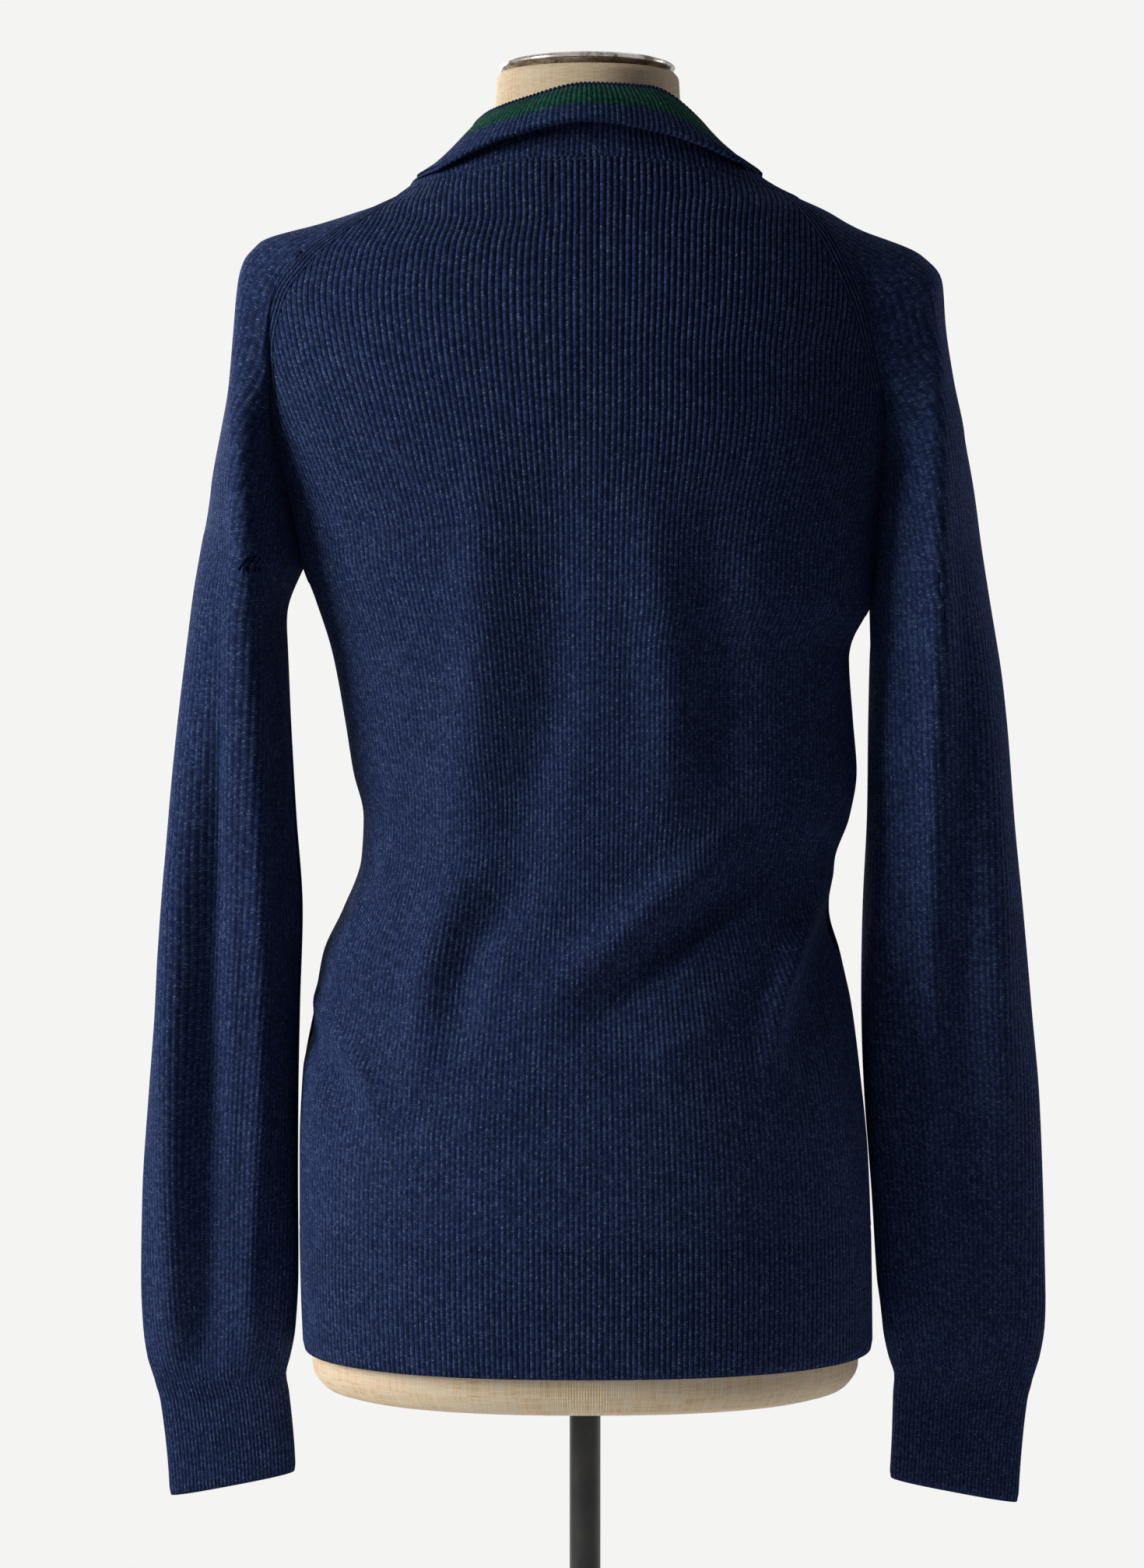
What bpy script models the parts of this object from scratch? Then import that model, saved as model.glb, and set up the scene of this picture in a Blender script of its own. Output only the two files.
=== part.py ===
"""Rib-knit raglan cardigan with a striped stand collar, worn by a limbless dress form on a round iron foot.

Metres, +Z up. The origin is the centre of the foot's underside. The cardigan's back faces -Y and the
wearer's left is -X. Cloth is a thin wall: its outer points come from the section tables below, its inner
points lie WALL further in, and neighbouring pieces stop SEAM short of the seam line that they share.
"""
import math
from functools import lru_cache

import bpy
import bmesh
from mathutils import Vector

# ---- driving sizes -------------------------------------------------------------------------------------
WALL = 0.0022            # rib knit with its ribs closed up
COLLAR_WALL = 0.0024
SEAM = 0.00015           # half of the gap between two pieces at a seam
SEAT = 0.0004            # gap between a piece and the one that carries it
HEM_Z = 0.600
HEM_TOP = 0.672
RIB_RELIEF = 0.0007

BACK_RIBS = 144          # ribs round the back half at the hem, side seam to side seam
FRONT_RIBS = 68          # ribs of one front, side seam to button band
COLUMN_RIBS = 4          # ribs that one column of a panel's faces spans
CUT_COLUMNS = 9          # columns of a panel that end at the raglan seam
PANEL_SHARES = (0.0, 0.09, 0.17, 0.24, 0.30, 0.36, 0.42, 0.48, 0.54, 0.60, 0.67, 0.75, 0.83, 0.90, 0.955, 1.0)

BAND_HALF = 0.0150       # button band, half of its width
BAND_GAP = 0.0153        # from the band's middle to the front's edge
FRONT_EDGE_TOP = 0.040   # how far each front leans open at the neckline
OPEN_FROM_Z = 1.118      # fastened up to here
UNDER_BAND = 0.0028      # the right band lies this far under the left one
UNDER_LAP = 0.0040

BUTTON_R = 0.0085
BUTTON_THICK = 0.0030
BUTTON_COUNT = 6
BUTTON_LOW_Z = 0.636
BUTTON_HIGH_Z = 1.108

SLEEVE_COLUMNS = 18
ARMHOLE_HALF_Y = 0.0700  # depth of the sleeve at the underarm
CUFF_RIB_PITCH = 0.0028
COLLAR_RIB_PITCH = 0.0062

POLE_R = 0.0091
FOOT_R = 0.190
FOOT_THICK = 0.010
BOSS_R = 0.027
BOSS_TOP = 0.034
SOCKET_R = 0.0094
SOCKET_FLOOR = 0.008
FORM_BOTTOM = 0.5755
NECK_TOP = 1.3380
NECK_X = 0.0014
NECK_Y = 0.0080
CAP_R = 0.0510
CAP_THICK = 0.0095

# ---- cloth sections round the body: half widths, depths behind and in front, squareness ------------------
BODY_COLUMNS = ("z", "left", "right", "back", "front", "square")
BODY = (
    (0.596, 0.1646, 0.1680, 0.1115, 0.1085, 2.35),
    (0.630, 0.1660, 0.1676, 0.1135, 0.1095, 2.35),
    (0.672, 0.1668, 0.1668, 0.1145, 0.1100, 2.35),
    (0.715, 0.1668, 0.1650, 0.1145, 0.1085, 2.30),
    (0.760, 0.1650, 0.1606, 0.1110, 0.1050, 2.25),
    (0.800, 0.1580, 0.1555, 0.1050, 0.1020, 2.20),
    (0.830, 0.1530, 0.1492, 0.1005, 0.1000, 2.20),
    (0.856, 0.1412, 0.1425, 0.0960, 0.0990, 2.20),
    (0.885, 0.1305, 0.1455, 0.0915, 0.0990, 2.20),
    (0.910, 0.1292, 0.1542, 0.0890, 0.1000, 2.20),
    (0.936, 0.1351, 0.1583, 0.0880, 0.1020, 2.20),
    (0.965, 0.1397, 0.1561, 0.0885, 0.1050, 2.20),
    (1.005, 0.1470, 0.1535, 0.0940, 0.1105, 2.25),
    (1.037, 0.1570, 0.1665, 0.0985, 0.1150, 2.30),
    (1.056, 0.1640, 0.1674, 0.1005, 0.1168, 2.30),
    (1.075, 0.1681, 0.1690, 0.1030, 0.1178, 2.30),
    (1.095, 0.1738, 0.1717, 0.1055, 0.1180, 2.30),
    (1.117, 0.1817, 0.1752, 0.1078, 0.1170, 2.30),
    (1.145, 0.1921, 0.1801, 0.1070, 0.1135, 2.30),
    (1.176, 0.1985, 0.1840, 0.1035, 0.1075, 2.30),
    (1.204, 0.2005, 0.1830, 0.0990, 0.1005, 2.30),
    (1.224, 0.1930, 0.1765, 0.0942, 0.0935, 2.30),
    (1.241, 0.1740, 0.1650, 0.0888, 0.0850, 2.30),
    (1.256, 0.1390, 0.1490, 0.0830, 0.0730, 2.30),
    (1.268, 0.1100, 0.1230, 0.0775, 0.0560, 2.30),
    (1.285, 0.0900, 0.0980, 0.0695, 0.0450, 2.30),
)

# ---- raglan seams: how many ribs they have cut off by then, and where they run ---------------------------
RAGLAN_COLUMNS = ("left_x", "left_z", "right_x", "right_z")
RAGLAN_BACK = (
    (0.1640, 1.0560, 0.1665, 1.0370),
    (0.1672, 1.0750, 0.1672, 1.0620),
    (0.1710, 1.0950, 0.1688, 1.0900),
    (0.1757, 1.1170, 0.1716, 1.1180),
    (0.1815, 1.1450, 0.1716, 1.1440),
    (0.1843, 1.1780, 0.1664, 1.1700),
    (0.1785, 1.2070, 0.1605, 1.1965),
    (0.1615, 1.2305, 0.1510, 1.2200),
    (0.1345, 1.2505, 0.1385, 1.2440),
    (0.1080, 1.2678, 0.1225, 1.2640),
)
RAGLAN_FRONT = (
    (0.1640, 1.0560, 0.1665, 1.0370),
    (0.1672, 1.0750, 0.1672, 1.0620),
    (0.1706, 1.0960, 0.1686, 1.0890),
    (0.1742, 1.1200, 0.1698, 1.1160),
    (0.1768, 1.1480, 0.1694, 1.1430),
    (0.1752, 1.1760, 0.1648, 1.1720),
    (0.1675, 1.2030, 0.1580, 1.2000),
    (0.1515, 1.2270, 0.1460, 1.2250),
    (0.1265, 1.2480, 0.1270, 1.2470),
    (0.0985, 1.2630, 0.1030, 1.2630),
)

# ---- necklines: height over the ribs counted from the middle of the back, or from the front's edge -------
NECK_BACK_COLUMNS = ("ribs", "left_z", "right_z")
NECK_BACK = (
    (0, 1.2843, 1.2843),
    (8, 1.2836, 1.2834),
    (16, 1.2795, 1.2800),
    (24, 1.2752, 1.2740),
    (30, 1.2718, 1.2685),
    (36, 1.2678, 1.2640),
)
NECK_FRONT_COLUMNS = ("ribs", "z")
NECK_FRONT = (
    (0, 1.2100),
    (4, 1.2145),
    (8, 1.2205),
    (12, 1.2275),
    (16, 1.2352),
    (20, 1.2430),
    (24, 1.2505),
    (28, 1.2575),
    (32, 1.2630),
)

# ---- sleeves below the underarm: ring centre, half sizes, lean of the ring towards the body --------------
SLEEVE_TABLE_COLUMNS = ("z", "x", "y", "half_x", "half_y", "square", "lean")
SLEEVE_LEFT = (
    (0.5160, 0.2080, 0.006, 0.0368, 0.0100, 2.70, 0.190),
    (0.5300, 0.2087, 0.006, 0.0369, 0.0102, 2.70, 0.150),
    (0.5680, 0.2127, 0.006, 0.0376, 0.0106, 2.60, 0.060),
    (0.5790, 0.2150, 0.005, 0.0384, 0.0116, 2.50, 0.040),
    (0.5900, 0.2157, 0.005, 0.0416, 0.0135, 2.40, 0.020),
    (0.6090, 0.2154, 0.004, 0.0446, 0.0165, 2.30, 0.000),
    (0.6400, 0.2150, 0.003, 0.0460, 0.0200, 2.25, 0.000),
    (0.6900, 0.2144, 0.002, 0.0454, 0.0250, 2.20, 0.000),
    (0.7450, 0.2122, 0.001, 0.0436, 0.0310, 2.15, 0.000),
    (0.8000, 0.2092, 0.000, 0.0418, 0.0375, 2.10, 0.000),
    (0.8550, 0.2062, 0.000, 0.0404, 0.0450, 2.05, 0.000),
    (0.9100, 0.2046, 0.000, 0.0352, 0.0540, 2.00, 0.000),
    (0.9640, 0.2032, 0.001, 0.0306, 0.0625, 2.00, 0.000),
    (1.0100, 0.2019, 0.002, 0.0272, 0.0675, 2.00, 0.000),
    (1.0300, 0.2014, 0.001, 0.0258, 0.0690, 2.00, 0.000),
    (1.0450, 0.1982, 0.000, 0.0276, 0.0698, 2.00, 0.000),
)
SLEEVE_RIGHT = (
    (0.5120, 0.2178, 0.006, 0.0376, 0.0100, 2.70, 0.190),
    (0.5300, 0.2188, 0.006, 0.0377, 0.0102, 2.70, 0.150),
    (0.5680, 0.2214, 0.006, 0.0392, 0.0106, 2.60, 0.060),
    (0.5790, 0.2230, 0.005, 0.0404, 0.0116, 2.50, 0.040),
    (0.5900, 0.2232, 0.005, 0.0440, 0.0135, 2.40, 0.020),
    (0.6090, 0.2230, 0.004, 0.0474, 0.0165, 2.30, 0.000),
    (0.6400, 0.2214, 0.003, 0.0490, 0.0200, 2.25, 0.000),
    (0.6900, 0.2194, 0.002, 0.0494, 0.0250, 2.20, 0.000),
    (0.7450, 0.2162, 0.001, 0.0500, 0.0310, 2.15, 0.000),
    (0.8000, 0.2126, 0.000, 0.0484, 0.0375, 2.10, 0.000),
    (0.8550, 0.2104, 0.000, 0.0455, 0.0450, 2.05, 0.000),
    (0.9100, 0.2088, 0.000, 0.0414, 0.0540, 2.00, 0.000),
    (0.9640, 0.2066, 0.001, 0.0392, 0.0625, 2.00, 0.000),
    (1.0000, 0.2046, 0.001, 0.0370, 0.0670, 2.00, 0.000),
    (1.0200, 0.2028, 0.000, 0.0346, 0.0690, 2.00, 0.000),
)
CUFF_TOP_Z = 0.5790
SLEEVE_RING_Z = {
    -1: (0.579, 0.590, 0.609, 0.640, 0.690, 0.745, 0.800, 0.855, 0.910, 0.964, 1.010, 1.039),
    1: (0.579, 0.590, 0.609, 0.640, 0.690, 0.745, 0.800, 0.855, 0.910, 0.964, 1.010),
}
CUFF_RING_Z = {-1: (0.516, 0.548), 1: (0.512, 0.546)}

# ---- sleeves above the underarm: their outer ridge, and their depth, one row for each cut column ----------
# Rows follow half_y, the depth of the sleeve's oval, or where that is none, the turn given in degrees.
RIDGE_COLUMNS = ("left_x", "left_z", "right_x", "right_z", "y", "half_y", "turn")
RIDGE = (
    (0.2243, 1.0560, 0.2352, 1.0370, 0.000, 0.0700, None),
    (0.2205, 1.0820, 0.2308, 1.0660, 0.000, 0.0695, None),
    (0.2160, 1.1090, 0.2262, 1.1000, 0.000, 0.0680, None),
    (0.2105, 1.1360, 0.2200, 1.1320, 0.000, 0.0660, None),
    (0.2040, 1.1640, 0.2130, 1.1640, 0.000, 0.0640, None),
    (0.1992, 1.1940, 0.2088, 1.1940, 0.000, 0.0620, None),
    (0.1965, 1.2220, 0.2066, 1.2210, 0.000, 0.0615, None),
    (0.1885, 1.2406, 0.1950, 1.2355, 0.000, None, 95),
    (0.1530, 1.2532, 0.1580, 1.2505, 0.004, None, 84),
    (0.1045, 1.2705, 0.1120, 1.2700, 0.012, None, 45),
)

# ---- collar: where its four upper lines run, from its left front end to its right one ---------------------
COLLAR_COLUMNS = ("place", "tuck_x", "tuck_y", "tuck_z", "roll_x", "roll_y", "roll_z",
                  "band_x", "band_y", "band_z", "rim_x", "rim_y", "rim_z")
COLLAR = (
    (-1.00, -0.041, 0.1020, 1.2180, -0.044, 0.1065, 1.2250, -0.050, 0.1060, 1.2450, -0.050, 0.0980, 1.2680),
    (-0.80, -0.079, 0.0800, 1.2425, -0.080, 0.0830, 1.2480, -0.075, 0.0760, 1.2660, -0.062, 0.0650, 1.2890),
    (-0.60, -0.0990, 0.0310, 1.2725, -0.0982, 0.0325, 1.2770, -0.087, 0.0300, 1.2890, -0.067, 0.0280, 1.3060),
    (-0.45, -0.1040, -0.0070, 1.2750, -0.1022, -0.0070, 1.2795, -0.089, -0.0070, 1.2935, -0.067, -0.0040, 1.3140),
    (-0.30, -0.0845, -0.0400, 1.2830, -0.0885, -0.0490, 1.2790, -0.076, -0.0430, 1.2975, -0.056, -0.0320, 1.3165),
    (-0.15, -0.0430, -0.0600, 1.2985, -0.0445, -0.0735, 1.2955, -0.040, -0.0655, 1.3095, -0.033, -0.0505, 1.3222),
    (0.00, 0.0010, -0.0668, 1.3068, 0.0010, -0.0812, 1.3055, 0.001, -0.0728, 1.3184, 0.001, -0.0570, 1.3288),
    (0.15, 0.0445, -0.0600, 1.3000, 0.0465, -0.0735, 1.2980, 0.043, -0.0655, 1.3120, 0.036, -0.0505, 1.3262),
    (0.30, 0.0880, -0.0410, 1.2850, 0.0915, -0.0500, 1.2820, 0.081, -0.0450, 1.2965, 0.067, -0.0340, 1.3110),
    (0.45, 0.1095, -0.0110, 1.2730, 0.1060, -0.0100, 1.2770, 0.096, -0.0080, 1.2860, 0.082, -0.0050, 1.2960),
    (0.60, 0.1050, 0.0300, 1.2710, 0.1030, 0.0315, 1.2750, 0.092, 0.0300, 1.2840, 0.079, 0.0280, 1.2935),
    (0.80, 0.0800, 0.0800, 1.2425, 0.0810, 0.0830, 1.2480, 0.077, 0.0760, 1.2650, 0.065, 0.0650, 1.2860),
    (1.00, 0.0410, 0.1020, 1.2180, 0.0440, 0.1065, 1.2250, 0.050, 0.1060, 1.2440, 0.051, 0.0980, 1.2660),
)

# ---- largest folds: from one place to another on the cloth, in x and z, with their half width and height --
FOLD_COLUMNS = ("x0", "z0", "x1", "z1", "half_width", "height")
BACK_FOLDS = (
    (-0.018, 0.806, 0.070, 0.872, 0.017, -0.0060),
    (-0.084, 0.798, -0.030, 0.868, 0.015, -0.0045),
    (-0.060, 0.810, 0.023, 0.866, 0.015, 0.0035),
    (-0.118, 0.800, -0.100, 0.850, 0.018, 0.0030),
    (0.104, 0.780, 0.118, 0.850, 0.014, 0.0040),
    (0.134, 0.800, 0.142, 0.850, 0.013, -0.0035),
    (-0.040, 1.070, -0.038, 0.930, 0.020, -0.0022),
    (0.060, 1.070, 0.058, 0.930, 0.020, -0.0022),
)
FRONT_FOLDS = (
    (-0.030, 0.830, -0.110, 0.900, 0.018, -0.0045),
    (-0.050, 0.780, -0.130, 0.830, 0.017, -0.0035),
    (0.034, 0.815, 0.110, 0.885, 0.018, -0.0045),
    (0.050, 0.770, 0.125, 0.815, 0.016, 0.0030),
    (-0.085, 1.120, -0.060, 1.000, 0.022, -0.0025),
    (0.085, 1.120, 0.060, 1.000, 0.022, -0.0025),
)

# ---- dress form: sections inside the cloth ---------------------------------------------------------------
FORM_COLUMNS = ("z", "half", "back", "front", "square")
FORM = (
    (0.5755, 0.1440, 0.0890, 0.0860, 2.30),
    (0.5790, 0.1535, 0.0985, 0.0955, 2.30),
    (0.5900, 0.1600, 0.1050, 0.1010, 2.30),
    (0.6200, 0.1612, 0.1075, 0.1030, 2.30),
    (0.6700, 0.1605, 0.1080, 0.1030, 2.30),
    (0.7200, 0.1570, 0.1060, 0.1000, 2.25),
    (0.7700, 0.1500, 0.1000, 0.0950, 2.20),
    (0.8200, 0.1380, 0.0910, 0.0900, 2.20),
    (0.8700, 0.1230, 0.0830, 0.0880, 2.20),
    (0.9100, 0.1195, 0.0790, 0.0885, 2.20),
    (0.9600, 0.1275, 0.0790, 0.0940, 2.20),
    (1.0100, 0.1370, 0.0850, 0.1000, 2.25),
    (1.0500, 0.1450, 0.0910, 0.1050, 2.30),
    (1.0900, 0.1540, 0.0950, 0.1070, 2.30),
    (1.1300, 0.1620, 0.0990, 0.1065, 2.30),
    (1.1700, 0.1680, 0.0985, 0.1020, 2.30),
    (1.2000, 0.1690, 0.0940, 0.0956, 2.30),
    (1.2200, 0.1650, 0.0912, 0.0885, 2.30),
    (1.2350, 0.1540, 0.0872, 0.0820, 2.25),
    (1.2470, 0.1360, 0.0800, 0.0715, 2.20),
    (1.2570, 0.1140, 0.0755, 0.0640, 2.20),
    (1.2670, 0.0890, 0.0690, 0.0590, 2.15),
    (1.2850, 0.0620, 0.0520, 0.0560, 2.05),
    (1.3050, 0.0550, 0.0460, 0.0590, 2.00),
    (1.3250, 0.0537, 0.0450, 0.0600, 2.00),
    (1.3350, 0.0530, 0.0445, 0.0595, 2.00),
    (1.3380, 0.0505, 0.0420, 0.0570, 2.00),
)
FORM_SEGMENTS = 24

ARC_STEPS = 40           # steps in which a quarter section's length is measured


# ---- reading the tables ----------------------------------------------------------------------------------
def row_at(table, place):
    """The columns of a table at a place between its rows, on smooth curves that never overshoot a row."""
    last = len(table) - 1
    if place <= table[0][0]:
        return table[0][1:]
    if place >= table[last][0]:
        return table[last][1:]
    low = 0
    while table[low + 1][0] < place:
        low += 1
    step = table[low + 1][0] - table[low][0]
    share = (place - table[low][0]) / step
    values = []
    for column in range(1, len(table[0])):
        start = table[low][column]
        end = table[low + 1][column]
        rise = (end - start) / step
        slope_in = gentle_slope(table, low, column, rise)
        slope_out = gentle_slope(table, low + 1, column, rise)
        values.append(hermite(start, end, slope_in * step, slope_out * step, share))
    return tuple(values)


def gentle_slope(table, row, column, rise):
    """The slope at a row: the harmonic mean of its two neighbours' rises, or none at a peak."""
    if row == 0 or row == len(table) - 1:
        return rise
    before = (table[row][column] - table[row - 1][column]) / (table[row][0] - table[row - 1][0])
    after = (table[row + 1][column] - table[row][column]) / (table[row + 1][0] - table[row][0])
    if before * after <= 0.0:
        return 0.0
    return 2.0 * before * after / (before + after)


def hermite(start, end, slope_in, slope_out, share):
    """A cubic between two values with the given slopes."""
    square = share * share
    cube = square * share
    return (start * (2 * cube - 3 * square + 1) + slope_in * (cube - 2 * square + share)
            + end * (3 * square - 2 * cube) + slope_out * (cube - square))


def smooth_step(share):
    share = min(1.0, max(0.0, share))
    return share * share * (3.0 - 2.0 * share)


# ---- the body's surface ----------------------------------------------------------------------------------
def body_sizes(side, face, z):
    """Half width, depth and squareness of the cloth's section on one side (-1 left) and face (-1 back)."""
    left, right, back, front, square = row_at(BODY, z)
    half = left if side < 0 else right
    depth = back if face < 0 else front
    return half, depth, square


@lru_cache(maxsize=None)
def quarter(half, depth, square):
    """Points of a quarter section from its centre line to its side, each with its length so far."""
    points = [(0.0, depth, 0.0)]
    for step in range(1, ARC_STEPS + 1):
        turn = 0.5 * math.pi * step / ARC_STEPS
        x = half * math.sin(turn) ** (2.0 / square)
        y = depth * max(0.0, math.cos(turn)) ** (2.0 / square)
        old_x, old_y, length = points[-1]
        points.append((x, y, length + math.hypot(x - old_x, y - old_y)))
    return points


def quarter_length(side, face, z):
    return quarter(*body_sizes(side, face, z))[-1][2]


def reach_of_x(side, face, x, z):
    """How far along its section, from the centre line, the cloth has come at this x."""
    points = quarter(*body_sizes(side, face, z))
    for before, after in zip(points, points[1:]):
        if after[0] >= x:
            share = (x - before[0]) / (after[0] - before[0])
            return before[2] + share * (after[2] - before[2])
    return points[-1][2]


def on_body(side, face, reach, z):
    """The cloth's outer point at a height, `reach` along the section from its centre line."""
    points = quarter(*body_sizes(side, face, z))
    for before, after in zip(points, points[1:]):
        if after[2] >= reach:
            share = (reach - before[2]) / (after[2] - before[2])
            x = before[0] + share * (after[0] - before[0])
            y = before[1] + share * (after[1] - before[1])
            return Vector((side * x, face * y, z))
    return Vector((side * points[-1][0], 0.0, z))


def section_value(x, y, z):
    """Below one inside the cloth's section, one on it."""
    half, depth, square = body_sizes(-1 if x < 0 else 1, -1 if y < 0 else 1, z)
    return abs(x / half) ** square + abs(y / depth) ** square


def body_normal(point):
    """Outward direction of the body's cloth, from how its section changes round a point."""
    step = 0.0005
    x, y, z = point
    slope = Vector((
        section_value(x + step, y, z) - section_value(x - step, y, z),
        section_value(x, y + step, z) - section_value(x, y - step, z),
        section_value(x, y, z + step) - section_value(x, y, z - step),
    ))
    return slope.normalized()


def fold_height(folds, x, z):
    """Height of the folds at a place: each is a soft trough or ridge with rounded ends."""
    total = 0.0
    for x0, z0, x1, z1, half_width, height in folds:
        along_x = x1 - x0
        along_z = z1 - z0
        share = ((x - x0) * along_x + (z - z0) * along_z) / (along_x ** 2 + along_z ** 2)
        share = min(1.0, max(0.0, share))
        away = math.hypot(x - x0 - share * along_x, z - z0 - share * along_z) / half_width
        total += height * math.exp(-away * away) * (0.35 + 0.65 * math.sin(math.pi * share))
    return total


def cloth_point(side, face, reach, z, edge_fade=1.0):
    """Outer and inner point of the body's cloth, folds and thickness counted along the section's normal."""
    base = on_body(side, face, reach, z)
    normal = body_normal(base)
    folds = BACK_FOLDS if face < 0 else FRONT_FOLDS
    outer = base + normal * (fold_height(folds, base.x, z) * edge_fade)
    return outer, outer - normal * WALL


# ---- how the ribs run on the panels ----------------------------------------------------------------------
def raglan_point(face, side, row):
    """x and z of the raglan seam at one of its rows."""
    table = RAGLAN_BACK if face < 0 else RAGLAN_FRONT
    return table[row][0:2] if side < 0 else table[row][2:4]


def open_edge(z):
    """How far the front's edge leans from the middle at a height."""
    top = NECK_FRONT[0][1]
    share = (z - OPEN_FROM_Z) / (top - OPEN_FROM_Z)
    return BAND_GAP + (FRONT_EDGE_TOP - BAND_GAP) * smooth_step(min(1.0, share) * 0.5) * 2.0 \
        if share > 0 else BAND_GAP


@lru_cache(maxsize=None)
def pitch_rows(face, side):
    """Width of one rib over height: full sections below the underarm, then what the raglan seam leaves."""
    count = BACK_RIBS // 2 if face < 0 else FRONT_RIBS
    rows = []
    under = raglan_point(face, side, 0)[1]
    for z in (0.596, 0.65, 0.70, 0.75, 0.80, 0.83, 0.86, 0.89, 0.92, 0.95, 0.98, 1.01, 1.03, under):
        edge = 0.0 if face < 0 else open_edge(z)
        rows.append((z, (quarter_length(side, face, z) - edge) / count))
    for row in range(1, CUT_COLUMNS + 1):
        x, z = raglan_point(face, side, row)
        edge = 0.0 if face < 0 else open_edge(z)
        left = count - row * COLUMN_RIBS
        rows.append((z, (reach_of_x(side, face, x, z) - edge) / left))
    return tuple(rows)


def rib_reach(face, side, ribs, z):
    """Place of a rib on its section, for a rib counted from the middle of the back or the front's edge."""
    edge = 0.0 if face < 0 else open_edge(z)
    return edge + ribs * row_at(pitch_rows(face, side), z)[0]


def panel_top(face, side, ribs):
    """Height at which a rib ends, at the raglan seam or the neckline."""
    count = BACK_RIBS // 2 if face < 0 else FRONT_RIBS
    cut = CUT_COLUMNS * COLUMN_RIBS
    if ribs >= count - cut:
        rows = []
        for row in range(CUT_COLUMNS + 1):
            rows.append((row * COLUMN_RIBS, raglan_point(face, side, row)[1]))
        return row_at(tuple(rows), count - ribs)[0]
    if face < 0:
        left, right = row_at(NECK_BACK, ribs)
        return left if side < 0 else right
    return row_at(NECK_FRONT, ribs)[0]


def panel_columns(face, ribs_list):
    """Outer and inner grids of a panel, one row of points for each share, one column for each rib given."""
    outer = []
    inner = []
    for share in PANEL_SHARES:
        outer_row = []
        inner_row = []
        for column_side, ribs in ribs_list:
            top = panel_top(face, column_side, ribs)
            z = HEM_TOP + (top - HEM_TOP) * share
            out, inn = cloth_point(column_side, face, rib_reach(face, column_side, ribs, z), z)
            outer_row.append(out)
            inner_row.append(inn)
        outer.append(outer_row)
        inner.append(inner_row)
    return outer, inner


def back_ribs():
    """The back's columns from its left side seam to its right one, as a side and a rib."""
    half = BACK_RIBS // 2
    left = [(-1, ribs) for ribs in range(half, 0, -COLUMN_RIBS)]
    right = [(1, ribs) for ribs in range(0, half + 1, COLUMN_RIBS)]
    return left + right


def front_ribs(side):
    """A front's columns from its side seam to the button band."""
    return [(side, ribs) for ribs in range(FRONT_RIBS, -1, -COLUMN_RIBS)]


# ---- walls -----------------------------------------------------------------------------------------------
def line_directions(points, closed):
    """Direction of a line of points at each of them."""
    last = len(points) - 1
    directions = []
    for index in range(len(points)):
        if closed and index in (0, last):
            before, after = points[last - 1], points[1]
        else:
            before, after = points[max(index - 1, 0)], points[min(index + 1, last)]
        directions.append((after - before).normalized())
    return directions


def moved_off(outer, inner, beside, amount, closed=False):
    """A seam's outer and inner points moved square to the cut between them, towards the piece's own side."""
    away = []
    total = 0.0
    for point, inn, near, along in zip(outer, inner, beside, line_directions(outer, closed)):
        square = along.cross(inn - point).normalized()
        total += square.dot(near - point)
        away.append(square * amount)
    if total < 0.0:
        away = [-step for step in away]
    return away


def pull_in(outer, inner, closed=None):
    """Draws a wall's edges in, so that it stops short of its neighbours."""
    rows = len(outer)
    closed = closed or [False] * rows
    moves = [[Vector() for _ in row] for row in outer]
    for row, beside in ((0, 1), (rows - 1, rows - 2)):
        steps = moved_off(outer[row], inner[row], outer[beside], SEAM, closed[row])
        for column, step in enumerate(steps):
            moves[row][column] += step
    open_rows = [row for row in range(rows) if not closed[row]]
    if open_rows:
        for column, beside in ((0, 1), (-1, -2)):
            line = [outer[row][column] for row in open_rows]
            behind = [inner[row][column] for row in open_rows]
            near = [outer[row][beside] for row in open_rows]
            for row, step in zip(open_rows, moved_off(line, behind, near, SEAM)):
                moves[row][column] += step
    pulled = []
    for grid in (outer, inner):
        pulled.append([[p + m for p, m in zip(row, line)] for row, line in zip(grid, moves)])
    return pulled


def seam_inner(point, directions, normals, thickness):
    """Inner point of a seam: on the far side of the groove that its walls make, where both stay thick."""
    groove = Vector()
    for step in directions + normals:
        groove += step
    groove.normalize()
    lean = max(0.6, groove.dot(normals[0]))
    return point - groove * (thickness / lean)


def square_to(direction, along):
    """The part of a direction that is square to a seam."""
    return (direction - along * direction.dot(along)).normalized()


def grid_inner(outer, thickness, closed):
    """Inner points of a grid, from the directions between each point's neighbours.

    The thickness is negative where the grid's own order turns its faces inwards."""
    last_row = len(outer) - 1
    last = len(outer[0]) - 1
    inner = []
    for row, points in enumerate(outer):
        inner_row = []
        for column, point in enumerate(points):
            if closed[row]:
                before = points[column - 1 if column else last - 1]
                after = points[column + 1 if column < last else 1]
            else:
                before = points[max(column - 1, 0)]
                after = points[min(column + 1, last)]
            below = outer[max(row - 1, 0)][column]
            above = outer[min(row + 1, last_row)][column]
            normal = (after - before).cross(above - below).normalized()
            inner_row.append(point - normal * thickness)
        inner.append(inner_row)
    return inner


def fine_row(row, counts):
    """A row of points with each stretch cut into equal steps."""
    points = []
    for index, count in enumerate(counts):
        for step in range(count):
            points.append(row[index].lerp(row[index + 1], step / count))
    points.append(row[-1].copy())
    return points


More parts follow.
